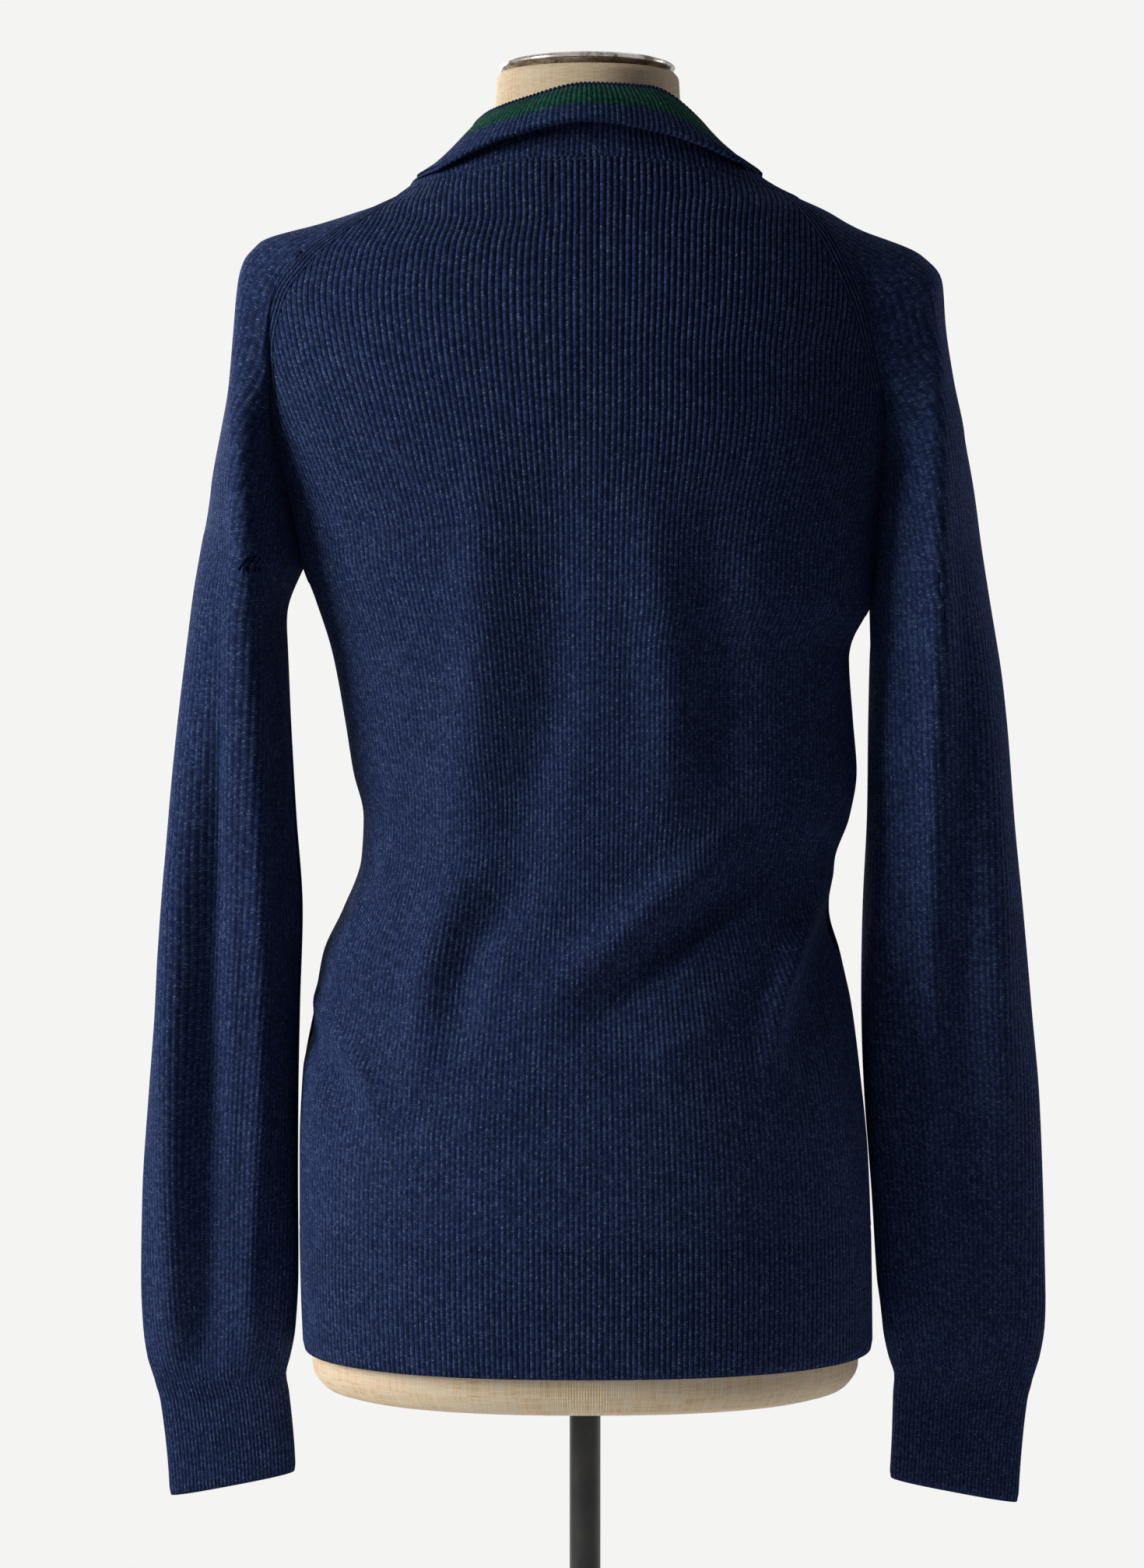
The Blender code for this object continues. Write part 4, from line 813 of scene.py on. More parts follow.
def fashion_sheet(side, face):
    """The ribs that run beside a raglan seam."""
    lines = fashion_lines(side, face)
    shares = np.linspace(0.0, 1.0, FASHION_ROWS)
    points, lengths = (np.stack(part, axis=1) for part in zip(*(resampled(line, shares) for line in lines)))
    out = outward(points)
    points = creased(face, points, out)
    away = np.linspace(0.0, FASHION_WIDTH, len(lines))
    points = points + out * dip(away, 0.0005, 0.0014)[None, :, None]
    ribs = np.linspace(0.0, FASHION_RIBS, len(lines))
    return knit_sheet(points, out, ribs, lengths / COURSE, FASHION_RELIEF)


def joined_halves(left, right):
    """Each of the left half's arrays carried on into the right half's, past their shared middle column."""
    return [np.concatenate([ours, theirs[:, -2::-1]], axis=1) for ours, theirs in zip(left, right)]


def back_sheets():
    whole = joined_halves(panel_half(-1, -1), panel_half(1, -1))
    return [panel_sheet(-1, *whole), fashion_sheet(-1, -1), fashion_sheet(1, -1)]


def front_sheets(side):
    return [panel_sheet(1, *panel_half(side, 1)), fashion_sheet(side, 1)]


def hem_sheet(face, sides):
    """A ribbed hem band, its lower edge rolled in a little."""
    z = np.linspace(HEM_Z, HEM_TOP, HEM_ROWS)[:, None]
    count = panel_ribs(face)
    ribs = np.linspace(count, 0.0, count * STEPS_PER_RIB + 1)[None]
    halves = [(on_body(side, face, rib_reach(side, face, ribs, z), z), side * ribs) for side in sides]
    points, ribs = joined_halves(*halves) if len(halves) == 2 else halves[0]
    out = outward(points)
    rolled = dip(z - HEM_Z, 0.0009, 0.004) + dip(HEM_TOP - z, 0.0003, 0.004)
    return knit_sheet(points + out * rolled[..., None], out, ribs, z / COURSE, HEM_RELIEF)


# ---- sleeves and cuffs ----
HALF_SHARES = np.linspace(0.0, 1.0, 97)
RING_STEPS = 360
ARCH_STEPS = 240
CHART_ROWS = 150          # rows of the sleeve's chart below the underarm, and as many above it
CHART_BLEND = 8           # steps from the last ring to the first arch
CUFF_ROWS = 18
SLEEVE_ROWS = 100
SLEEVE_FINE_FROM = 0.84   # share of a rib's length above which its rows stand closer
SLEEVE_FINE_ROWS = 40
SIDE_BLEND = 0.16         # share of the half round over which a side's creases begin
UNDERARM_SEAM = 0.3       # depth of the underarm seam, as a share of the raglan seams'
UPPER_RELIEF = (0.98, 0.15, 0.00010)      # from this height and over this one the ribs get lower, by this much
CUFF_CLEAR = 0.035        # length over which the creases begin above the cuff
EVEN_SPREAD = 9           # rows on either side that take part in the evening
EVEN_WIDTH = 5.0
EVEN_REACH = 22.0         # rows from the underarm over which it fades


def signed_power(values, power):
    return np.sign(values) * np.abs(values) ** power


def halved(line):
    """A line's points at even lengths on either side of its middle one, and its mean half length."""
    middle = len(line) // 2
    back, _ = resampled(line[:middle + 1], HALF_SHARES)
    front, _ = resampled(line[middle:], HALF_SHARES)
    whole = np.linalg.norm(np.diff(line, axis=0), axis=1).sum()
    return np.vstack([back, front[1:]]), whole / 2.0


def ring_line(side, z):
    """A closed ring of the sleeve, from the underarm round the back and the front to it."""
    x, y, half_x, half_y, square, lean = on_table(SLEEVE_LEFT if side < 0 else SLEEVE_RIGHT, z)
    turn = np.linspace(math.pi, -math.pi, RING_STEPS + 1)
    out = signed_power(np.cos(turn), 2.0 / square) * half_x
    behind = signed_power(np.sin(turn), 2.0 / square) * half_y
    return np.stack([side * (x + out), y - behind, z - lean * out], axis=-1)


def arch_lines(side, rows):
    """Open rows of the sleeve above the underarm, from the back raglan seam over the ridge to the front one."""
    back = raglan_frame(side, -1, rows)[0]
    front = raglan_frame(side, 1, rows)[0]
    first = 0 if side < 0 else 2
    x, z, y = on_table([(row, *values[first:first + 2], values[4]) for row, values in enumerate(RIDGE)], rows)
    ridge = np.stack([side * x, y, z], axis=-1)
    spread = (back - front) / 2.0
    size = np.linalg.norm(spread, axis=-1)
    depths = [(row, values[5]) for row, values in enumerate(RIDGE) if values[5]]
    depth = np.maximum(on_table(depths, rows)[0], size)
    by_depth = math.pi - np.arcsin(np.clip(size / depth, 0.0, 1.0))
    last = FIRST_TURNED_ROW - 1
    turns = [(last, np.interp(last, rows, by_depth))]
    turns += [(row, math.radians(values[6])) for row, values in enumerate(RIDGE) if values[6]]
    sweep = np.where(rows < last, by_depth, on_table(turns, rows)[0])
    rise = (ridge - (back + front) / 2.0) / (1.0 - np.cos(sweep))[:, None]
    length = np.where(rows < last, depth, size / np.sin(sweep))
    across = np.where(size[:, None] > 1e-4, unit(spread), np.array([0.0, -1.0, 0.0])) * length[:, None]
    turn = (sweep[:, None] * np.linspace(1.0, -1.0, ARCH_STEPS + 1)[None])[..., None]
    return (ridge - rise)[:, None] + rise[:, None] * np.cos(turn) + across[:, None] * np.sin(turn)


def sleeve_chart(side):
    """The sleeve's whole surface as lines from the cuff to the neckline, and each line's half length."""
    rings = [halved(ring_line(side, z)) for z in np.linspace(CUFF_TOP_Z, TUBE_TOP_Z[side], CHART_ROWS)]
    arches = [halved(line) for line in arch_lines(side, np.linspace(0.0, CUT_ROWS, CHART_ROWS))]
    between_them = [[low * (1 - share) + high * share for low, high in zip(rings[-1], arches[0])]
                    for share in np.linspace(0.0, 1.0, CHART_BLEND)[1:-1]]
    lines, halves = zip(*rings, *between_them, *arches)
    return np.array(lines), np.array(halves), len(lines) - len(arches)


def evened(chart, first_arch):
    """The chart smoothed a little where the rings meet the open rows, its seams left alone."""
    kernel = np.exp(-(np.arange(-EVEN_SPREAD, EVEN_SPREAD + 1) / EVEN_WIDTH) ** 2)
    kernel /= kernel.sum()
    padded = np.concatenate([chart[:1].repeat(EVEN_SPREAD, 0), chart, chart[-1:].repeat(EVEN_SPREAD, 0)])
    smooth = sum(weight * padded[index:index + len(chart)] for index, weight in enumerate(kernel))
    near = np.exp(-((np.arange(len(chart)) - first_arch + 2) / EVEN_REACH) ** 2)[:, None, None]
    across = 1.0 - np.abs(np.linspace(-1.0, 1.0, chart.shape[1]))[None, :, None] ** 10
    return chart + (smooth - chart) * near * across


def sleeve_sheet(side):
    """A sleeve's ribs from the cuff up, some ending early along its raglan seams."""
    chart, halves, first_arch = sleeve_chart(side)
    chart = evened(chart, first_arch)
    ridge = chart[:, chart.shape[1] // 2]
    way = summed(np.linalg.norm(np.diff(ridge, axis=0), axis=1))
    rows = np.arange(len(chart), dtype=float)
    half_ribs = SLEEVE_RIBS / 2.0
    taper = SEAM_TAPER * np.maximum(rows - first_arch, 0.0) / (len(rows) - first_arch)
    share = np.where(rows < first_arch, 1.0, np.minimum(halves / halves[first_arch] - taper, 1.0))
    left = half_ribs * np.minimum.accumulate(share)
    ribs = np.linspace(-half_ribs, half_ribs, SLEEVE_RIBS * STEPS_PER_RIB + 1)
    end_row = np.interp(-np.abs(ribs), -left[first_arch:], rows[first_arch:])
    shares = in_steps(0.0, (SLEEVE_FINE_FROM, SLEEVE_ROWS), (1.0, SLEEVE_FINE_ROWS))
    ways = shares[:, None] * np.interp(end_row, rows, way)[None]
    row = np.interp(ways, way, rows)
    remaining = np.interp(row, rows, left)
    across = np.clip(ribs[None] / remaining, -1.0, 1.0)
    points = between(chart, row, (across + 1.0) / 2.0 * (chart.shape[1] - 1))
    seam_away = (remaining - np.abs(ribs)[None]) * (halves[first_arch] / half_ribs)
    flush = smooth_step((points[..., 2] - FLUSH_FROM_Z) / FLUSH_RISE)
    flush = flush * (1.0 - smooth_step(seam_away / FLUSH_REACH))
    points = points + (laid_on_body(points) - points) * flush[..., None]
    out = tube_normals(points)
    x, z = points[..., 0], points[..., 2]
    height = crease_height(SLEEVE_BACK_CREASES[side], x, z) * smooth_step(-across / SIDE_BLEND)
    height += crease_height(SLEEVE_FRONT_CREASES[side], x, z) * smooth_step(across / SIDE_BLEND)
    height *= smooth_step(ways / CUFF_CLEAR)
    height += dip(seam_away, 0.0005, 0.0020) * np.where(row > first_arch, 1.0, UNDERARM_SEAM)
    points = points + out * height[..., None]
    from_z, rise, less = UPPER_RELIEF
    relief = SLEEVE_RELIEF - less * smooth_step((points[..., 2] - from_z) / rise)
    return knit_sheet(points, out, ribs, ways / COURSE, relief)


def cuff_sheet(side):
    levels = np.linspace(CUFF_LOW_Z[side], CUFF_TOP_Z, CUFF_ROWS)
    chart = np.array([halved(ring_line(side, z))[0] for z in levels])
    shares = np.linspace(0.0, 1.0, CUFF_RIBS * STEPS_PER_RIB + 1)[None]
    points = between(chart, np.arange(CUFF_ROWS, dtype=float)[:, None], shares * (chart.shape[1] - 1))
    out = tube_normals(points)
    up = np.linspace(0.0, CUFF_TOP_Z - CUFF_LOW_Z[side], CUFF_ROWS)[:, None]
    points = points + out * dip(up, 0.0007, 0.005)[..., None]
    return knit_sheet(points, out, shares * CUFF_RIBS, up / COURSE, CUFF_RELIEF)


# ---- collar ----
COLLAR_STEPS = 7          # rows between neighbouring lines of the collar
TUCK_SHARE = 0.45         # where the hollow under the roll lies between the tuck and the roll
TUCK_SAG = 0.28           # how far it hangs, as a share of what the roll overhangs
ROLL_CLOSE = 0.006        # beyond this
LAP_IN = 0.0016           # how far the collar's foot lies inside the neckline
LAP_DOWN = 0.0012         # and below it
NECK_RIBS = {face: float(panel_ribs(face) - CUT_ROWS * COLUMN_RIBS) for face in (-1, 1)}


def neckline():
    """The two halves of the neckline, each from the front's edge to the middle of the back."""
    def edge(side, face, ribs):
        z = neck_height(side, face, ribs)
        return on_body(side, face, rib_reach(side, face, ribs, z), z)

    halves = []
    for side in (-1, 1):
        top = halved(arch_lines(side, np.array([CUT_ROWS - 0.01, float(CUT_ROWS)]))[-1])[0]
        halves.append(np.vstack([edge(side, 1, np.linspace(0.0, NECK_RIBS[1], 80))[:-1], top[::-1][:-1],
                                 edge(side, -1, np.linspace(NECK_RIBS[-1], 0.0, 90))]))
    return halves


def collar_sheet():
    """The stand collar: up from the neckline, rolled outwards over itself, and in again to its rim."""
    shares = np.linspace(0.0, 1.0, COLLAR_RIBS * STEPS_PER_RIB // 2 + 1)
    left_seam, right_seam = (resampled(half, shares)[0] for half in neckline())
    seam = np.vstack([left_seam, right_seam[-2::-1]])
    values = on_table(COLLAR, np.concatenate([shares - 1.0, 1.0 - shares[-2::-1]]))
    tuck, roll, band, rim = (np.stack(values[3 * line:3 * line + 3], axis=-1) for line in range(4))
    gap = np.linalg.norm(roll - tuck, axis=-1, keepdims=True)
    under = tuck * TUCK_SHARE + roll * (1.0 - TUCK_SHARE)
    under[:, 2:] -= np.clip(gap - ROLL_CLOSE, 0.0, 1.0) * TUCK_SAG
    lap = seam - outward(seam) * LAP_IN
    lap[:, 2] -= LAP_DOWN
    profile = smooth_profile([lap, seam, tuck, under, roll, band, rim], COLLAR_STEPS)
    out = smoothed_rows(grid_normals(profile))
    way = summed(np.linalg.norm(np.diff(profile, axis=0), axis=-1))
    from_rim = way[-1:] - way
    ribs = np.linspace(0.0, COLLAR_RIBS, profile.shape[1])
    profile = profile + out * dip(np.abs(way - 0.002), 0.0004, 0.0024)[..., None]
    profile[..., 2] += rib_profile(ribs) * np.clip(1.0 - from_rim / 0.002, 0.0, 1.0) * 0.0005
    return knit_sheet(profile, out, ribs, from_rim / COURSE, COLLAR_RELIEF, COLLAR_WALL)


def smooth_profile(lines, steps):
    """Rows of points on a smooth curve through each of the lines in turn."""
    lines = [2 * lines[0] - lines[1]] + lines + [2 * lines[-1] - lines[-2]]
    rows = []
    for index in range(1, len(lines) - 2):
        before, start, end, after = lines[index - 1:index + 3]
        first, middle, last = (np.linalg.norm(span, axis=-1, keepdims=True) ** 0.5 + 1e-6
                               for span in (start - before, end - start, after - end))
        slope_in = (start - before) / first - (end - before) / (first + middle) + (end - start) / middle
        slope_out = (end - start) / middle - (after - start) / (middle + last) + (after - end) / last
        slope_in *= middle
        slope_out *= middle
        count = steps + (1 if index == len(lines) - 3 else 0)
        for share in np.arange(count) / steps:
            square, cube = share ** 2, share ** 3
            rows.append(start * (2 * cube - 3 * square + 1) + slope_in * (cube - 2 * square + share)
                        + end * (3 * square - 2 * cube) + slope_out * (cube - square))
    return np.array(rows)


def smoothed_rows(vectors):
    """Directions evened along their rows."""
    for _ in range(3):
        vectors = unit(np.concatenate([
            vectors[:, :1], vectors[:, :-2] + 2 * vectors[:, 1:-1] + vectors[:, 2:], vectors[:, -1:]], axis=1))
    return vectors


# ---- button bands ----
BAND_ROWS = 90
BAND_OPEN_ROWS = 32


def on_front(side, offset, z):
    """Places of the front's cloth, `offset` past its edge and maybe over the middle."""
    reach = open_edge(z) - offset
    own = on_body(side, 1, np.abs(reach), z)
    other = on_body(-side, 1, np.abs(reach), z)
    return np.where((reach >= 0.0)[..., None], own, other)


def band_sheet(side):
    """A ribbed button band, the right one under the left one."""
    first = 0.0 if side < 0 else -UNDER_LAP
    offsets = first + np.linspace(0.0, 2.0 * BAND_HALF, BAND_RIBS * STEPS_PER_RIB + 1)[None]
    z = in_steps(HEM_Z, (OPEN_FROM_Z, BAND_ROWS), (NECK_FRONT[0][1], BAND_OPEN_ROWS))[:, None]
    points = on_front(side, offsets, z)
    out = outward(points)
    points = creased(1, points, out)
    rolled = dip(offsets - first, 0.0007, 0.0025) + dip(first + 2 * BAND_HALF - offsets, 0.0008, 0.0025)
    points = points + out * (rolled - (0.0 if side < 0 else UNDER_BAND))[..., None]
    ribs = (offsets - first) / (2.0 * BAND_HALF) * BAND_RIBS
    return knit_sheet(points, out, ribs, z / COURSE, BAND_RELIEF)


# ---- dress form and stand ----
TORSO_SEGMENTS = 120
TORSO_CLEAR = 0.0030      # how far the torso stands back under the cloth
TORSO_COVERED = (0.605, 1.275)    # between these heights, over lengths of 0.02
NECK_LONGER = (1.32, 0.857)       # above this height the neck's table is stretched, by this share


def lofted(name, rings, material, spans, sharp_degrees=40.0):
    """A closed solid of rings with caps at both ends, its UV map in metres round and up."""
    around, up = spans
    rows, columns = rings.shape[:2]
    numbers = np.arange(rows * columns).reshape(rows, columns)
    faces = corners(np.concatenate([numbers, numbers[:, :1]], axis=1)).reshape(-1, 4).tolist()
    faces += [numbers[0, ::-1].tolist(), numbers[-1].tolist()]
    mesh = bpy.data.meshes.new(name)
    mesh.from_pydata(rings.reshape(-1, 3).tolist(), [], faces)
    unrolled = corners(np.stack(np.meshgrid(around * np.arange(columns + 1) / columns, up), axis=-1))
    set_map(mesh, "weave", np.concatenate([unrolled.reshape(-1, 2), rings[0, ::-1, :2], rings[-1, :, :2]]))
    return shown_object(name, mesh, material, sharp_degrees)


def rounded(profile, radius, steps=4):
    """A profile with its corners rounded off."""
    made = [profile[0]]
    for before, corner, after in zip(profile, profile[1:], profile[2:]):
        corner = Vector(corner)
        back, on = Vector(before) - corner, Vector(after) - corner
        cut = min(radius, 0.45 * back.length, 0.45 * on.length)
        start, end = corner + back.normalized() * cut, corner + on.normalized() * cut
        for step in range(steps + 1):
            share = step / steps
            made.append(tuple(start.lerp(corner, share).lerp(corner.lerp(end, share), share)))
    return made + [profile[-1]]


def make_turned(name, profile, radius, segments, material, place=(0.0, 0.0)):
    """A turned solid from its profile, each corner a radius and a height."""
    profile = rounded(profile, radius)
    turn = np.linspace(0.0, 2.0 * math.pi, segments, endpoint=False)[None]
    out, height = (np.array(part)[:, None] for part in zip(*profile))
    x, y = place
    rings = np.stack([x + out * np.cos(turn), y + out * np.sin(turn), height + 0.0 * turn], axis=-1)
    up = summed([math.dist(a, b) for a, b in zip(profile, profile[1:])])
    return lofted(name, rings, material, (2.0 * math.pi * out.max(), up))


def make_torso(material):
    """The form's smooth torso and neck, a little inside the cloth wherever that covers it."""
    levels = in_steps(FORM_BOTTOM, (0.60, 18), (1.33, 96), (NECK_TOP, 10))
    from_z, share = NECK_LONGER
    on_form = np.where(levels > from_z, from_z + (levels - from_z) * share, levels)
    half, back, front, square = on_table(FORM, on_form)
    turn = np.linspace(0.0, 2.0 * math.pi, TORSO_SEGMENTS, endpoint=False)[None]
    low, high = TORSO_COVERED
    clear = TORSO_CLEAR * smooth_step((levels - low) / 0.02) * smooth_step((high - levels) / 0.02)
    half, back, front = half - clear, back - clear, front - clear
    power = (2.0 / square)[:, None]
    x = signed_power(np.cos(turn), power) * half[:, None]
    y = signed_power(np.sin(turn), power)
    y = y * np.where(y > 0, front[:, None], back[:, None])
    neck = smooth_step((levels - 1.25) / 0.06)[:, None]
    rings = np.stack([x + NECK_X * neck, y, levels[:, None] + 0.0 * x], axis=-1)
    up = summed(np.hypot(np.diff(levels), np.diff(half)))
    return lofted("torso", rings, material, (0.80, up), 60.0)


def make_stand(iron, chrome):
    low, high = NECK_TOP + GAP, NECK_TOP + GAP + CAP_THICK
    cap = ((0.001, low), (CAP_R - 0.009, low), (CAP_R - 0.0015, low + 0.0022), (CAP_R, low + 0.0030),
           (CAP_R, low + 0.0048), (CAP_R - 0.0035, high), (0.001, high))
    low, high = SOCKET_FLOOR + GAP, FORM_BOTTOM - GAP
    pole = ((0.001, low), (POLE_R, low), (POLE_R, high), (0.001, high))
    foot = ((0.001, 0.0), (FOOT_R - 0.002, 0.0), (FOOT_R, 0.002), (FOOT_R, FOOT_THICK - 0.002),
            (FOOT_R - 0.004, FOOT_THICK), (BOSS_R + 0.008, FOOT_THICK + 0.002), (BOSS_R, FOOT_THICK + 0.008),
            (BOSS_R - 0.002, BOSS_TOP), (SOCKET_R, BOSS_TOP), (SOCKET_R, SOCKET_FLOOR), (0.001, SOCKET_FLOOR))
    return (
        make_turned("neck_disc", cap, 0.0012, 128, chrome, (NECK_X, NECK_Y)),
        make_turned("pole", pole, 0.0006, 64, iron),
        make_turned("foot", foot, 0.0015, 160, iron),
    )


# ---- buttons ----
# From the seat's edge over the rim to the dished face, in shares of a button's radius and thickness.
BUTTON_RIM = ((0.55, 0.0), (0.90, 0.0), (0.985, 0.14), (1.0, 0.40), (0.975, 0.72), (0.90, 0.95), (0.80, 1.0),
              (0.70, 0.95), (0.62, 0.80), (0.54, 0.68), (0.44, 0.62))
BUTTON_SEGMENTS = 36
HOLE_AWAY = 0.0019        # from a button's middle to the middle of each of its four holes
HOLE_R = 0.00075
HOLE_SEGMENTS = 10
HOLE_FLOOR = 0.35         # height of a hole's floor, as a share of the face's
BUTTON_FACE = GAP + BUTTON_RIM[-1][1] * BUTTON_THICK


def button_seats():
    """Each button's seat on the left band, as in the solids, and the turn that lays a button on it."""
    seats = []
    for index in range(BUTTON_COUNT):
        z = BUTTON_LOW_Z + (BUTTON_HIGH_Z - BUTTON_LOW_Z) * index / (BUTTON_COUNT - 1)
        own = on_body(-1, 1, np.array([0.0003]), np.array([z]))
        out = outward(own)
        turn = Vector((0.0, 0.0, 1.0)).rotation_difference(Vector(out[0])).to_matrix()
        seats.append((Vector(creased(1, own, out)[0]), turn))
    return seats


def circle(middle, radius, segments, first=0.0):
    turns = [2.0 * math.pi * (first + step) / segments for step in range(segments)]
    return [middle + Vector((radius * math.cos(turn), radius * math.sin(turn), 0.0)) for turn in turns]


def hole_places():
    return circle(Vector(), HOLE_AWAY, 4, 0.5)


def in_turn(loop):
    """Each item of a closed loop with the one after it."""
    return zip(loop, loop[1:] + loop[:1])


def joined_rings(builder, low, high):
    for (low_first, low_after), (high_first, high_after) in zip(in_turn(low), in_turn(high)):
        builder.faces.new((low_first, low_after, high_after, high_first))


def build_button(builder, seat, turn):
    """A turned button with a raised rim, a dished face and four sewing holes."""
    def ring(height, radius, segments, middle=Vector()):
        places = circle(middle + Vector((0.0, 0.0, height)), radius, segments)
        return [builder.verts.new(seat + turn @ place) for place in places]

    rings = [ring(GAP + height * BUTTON_THICK, radius * BUTTON_R, BUTTON_SEGMENTS)
             for radius, height in BUTTON_RIM]
    for low, high in zip(rings, rings[1:]):
        joined_rings(builder, low, high)
    builder.faces.new(rings[0][::-1])
    loops = [rings[-1]]
    for middle in hole_places():
        top = ring(BUTTON_FACE, HOLE_R, HOLE_SEGMENTS, middle)
        low = ring(BUTTON_FACE * HOLE_FLOOR, HOLE_R, HOLE_SEGMENTS, middle)
        joined_rings(builder, top, low)
        builder.faces.new(low)
        loops.append(top)
    edges = [builder.edges.get(pair) or builder.edges.new(pair) for loop in loops for pair in in_turn(loop)]
    bmesh.ops.triangle_fill(builder, edges=edges, use_beauty=True)


def make_buttons(material):
    builder = bmesh.new()
    for seat, turn in button_seats():
        build_button(builder, seat, turn)
    mesh = bpy.data.meshes.new("buttons")
    bmesh.ops.recalc_face_normals(builder, faces=builder.faces)
    builder.to_mesh(mesh)
    builder.free()
    return shown_object("buttons", mesh, material, 50.0)


# ---- node trees ----
def operator(operation, order=1):
    """What a wire does for one sign of arithmetic: it adds the maths node for it."""
    def act(*values):
        return values[0].graph.math(operation, *values[::order])
    return act


class Wire:
    """A node's output. Sums with it add nodes to its tree."""

    def __init__(self, graph, socket):
        self.graph = graph
        self.socket = socket

    __add__ = operator("ADD")
    __sub__ = operator("SUBTRACT")
    __rsub__ = operator("SUBTRACT", -1)
    __mul__ = operator("MULTIPLY")
    __gt__ = operator("GREATER_THAN")
    __lt__ = operator("LESS_THAN")
    __abs__ = operator("ABSOLUTE")
    __floor__ = operator("FLOOR")


class Graph:
    """Adds nodes to a tree and joins them."""

    def __init__(self, tree):
        self.tree = tree

    def put(self, value, socket):
        if isinstance(value, Wire):
            self.tree.links.new(value.socket, socket)
        else:
            socket.default_value = value

    def node(self, kind, given=(), **settings):
        """A new node with its settings. `given` has values or wires for its inputs, in order or by name."""
        made = self.tree.nodes.new(kind)
        for name, value in settings.items():
            setattr(made, name, value)
        for name, value in given.items() if isinstance(given, dict) else enumerate(given):
            self.put(value, made.inputs[name])
        return made

    def wires(self, node, *names):
        return [Wire(self, node.outputs[name]) for name in names]

    def out(self, kind, given=(), output=0, **settings):
        return Wire(self, self.node(kind, given, **settings).outputs[output])

    def math(self, operation, *values):
        return self.out("ShaderNodeMath", values, operation=operation)

    def vector(self, x, y, z=0.0):
        return self.out("ShaderNodeCombineXYZ", (x, y, z))


# ---- stitches, by Geometry Nodes ----
def stitch_tree():
    """A tree that lays yarn stitches along lines: it reads each point's `way` and `out` directions."""
    tree = bpy.data.node_groups.new("stitches_on_a_line", "GeometryNodeTree")
    inputs = {"Lines": "Geometry", "Spacing": "Float", "Length": "Float", "Yarn radius": "Float",
              "Slant": "Float", "Material": "Material"}
    for name, kind in inputs.items():
        tree.interface.new_socket(name, in_out="INPUT", socket_type="NodeSocket" + kind)
    tree.interface.new_socket("Stitches", in_out="OUTPUT", socket_type="NodeSocketGeometry")
    graph = Graph(tree)
    lines, spacing, length, radius, slant, material = graph.wires(graph.node("NodeGroupInput"), *inputs)
    curves = graph.out("GeometryNodeMeshToCurve", {"Mesh": lines})
    spaced = graph.out("GeometryNodeResampleCurve", {"Curve": curves, "Length": spacing}, mode="LENGTH")
    arc = graph.out("GeometryNodeCurveQuadraticBezier", {
        "Resolution": 5,
        "Start": graph.vector(length * -0.5, slant * -0.5, radius * -0.9),
        "Middle": graph.vector(0.0, 0.0, radius * 1.8),
        "End": graph.vector(length * 0.5, slant * 0.5, radius * -0.9),
    })
    ring = graph.out("GeometryNodeCurvePrimitiveCircle", {"Resolution": 5, "Radius": radius})
    yarn = graph.out("GeometryNodeCurveToMesh", {"Curve": arc, "Profile Curve": ring, "Fill Caps": True})
    turn = {}
    for name, axis, pivot in (("out", "Z", "AUTO"), ("way", "X", "Z")):
        read = graph.out("GeometryNodeInputNamedAttribute", {"Name": name}, "Attribute",
                         data_type="FLOAT_VECTOR")
        turn["Rotation"] = graph.out("FunctionNodeAlignRotationToVector", {"Vector": read, **turn},
                                     axis=axis, pivot_axis=pivot)
    laid = graph.out("GeometryNodeInstanceOnPoints", {"Points": spaced, "Instance": yarn, **turn})
    real = graph.out("GeometryNodeRealizeInstances", (laid,))
    graph.node("NodeGroupOutput", {
        "Stitches": graph.out("GeometryNodeSetMaterial", {"Geometry": real, "Material": material})})
    return tree


def stitched(tree, name, lines, **values):
    """One plain mesh of stitches along `lines`, each a row of places, of ways along it and of ways out."""
    places, ways, outs = (np.concatenate([np.array(line[part]) for line in lines]) for part in range(3))
    edges = []
    start = 0
    for line in lines:
        edges += [(start + step, start + step + 1) for step in range(len(line[0]) - 1)]
        start += len(line[0])
    mesh = bpy.data.meshes.new(name + "_lines")
    mesh.from_pydata(places.tolist(), edges, [])
    for label, directions in (("way", ways), ("out", outs)):
        kept = mesh.attributes.new(label, "FLOAT_VECTOR", "POINT")
        kept.data.foreach_set("vector", directions.astype(np.float32).ravel())
    carrier = linked(name + "_carrier", mesh)
    modifier = carrier.modifiers.new("stitches", "NODES")
    modifier.node_group = tree
    for item in tree.interface.items_tree:
        key = item.name.lower().replace(" ", "_")
        if key in values:
            modifier[item.identifier] = values[key]
    bpy.context.view_layer.update()
    depsgraph = bpy.context.evaluated_depsgraph_get()
    made = bpy.data.meshes.new_from_object(carrier.evaluated_get(depsgraph), depsgraph=depsgraph)
    made.name = name
    made.shade_smooth()
    carrier.modifiers.remove(modifier)
    bpy.data.objects.remove(carrier, do_unlink=True)
    return linked(name, made)


def along(points, lift):
    """The stitch line over cloth `points`: places lifted clear, the ways along the line, and outwards."""
    out = outward(points)
    return points + out * lift, unit(np.gradient(points, axis=0)), out


def neck_lines():
    return [along(line + np.array([0.0, 0.0, -0.0022]), 0.0009) for line in neckline()]


def band_lines(side, offset):
    z = np.linspace(HEM_Z + 0.003, NECK_FRONT[0][1] - 0.006, 160)
    points = on_front(side, offset, z)
    return [along(creased(1, points, outward(points)), 0.0006)]


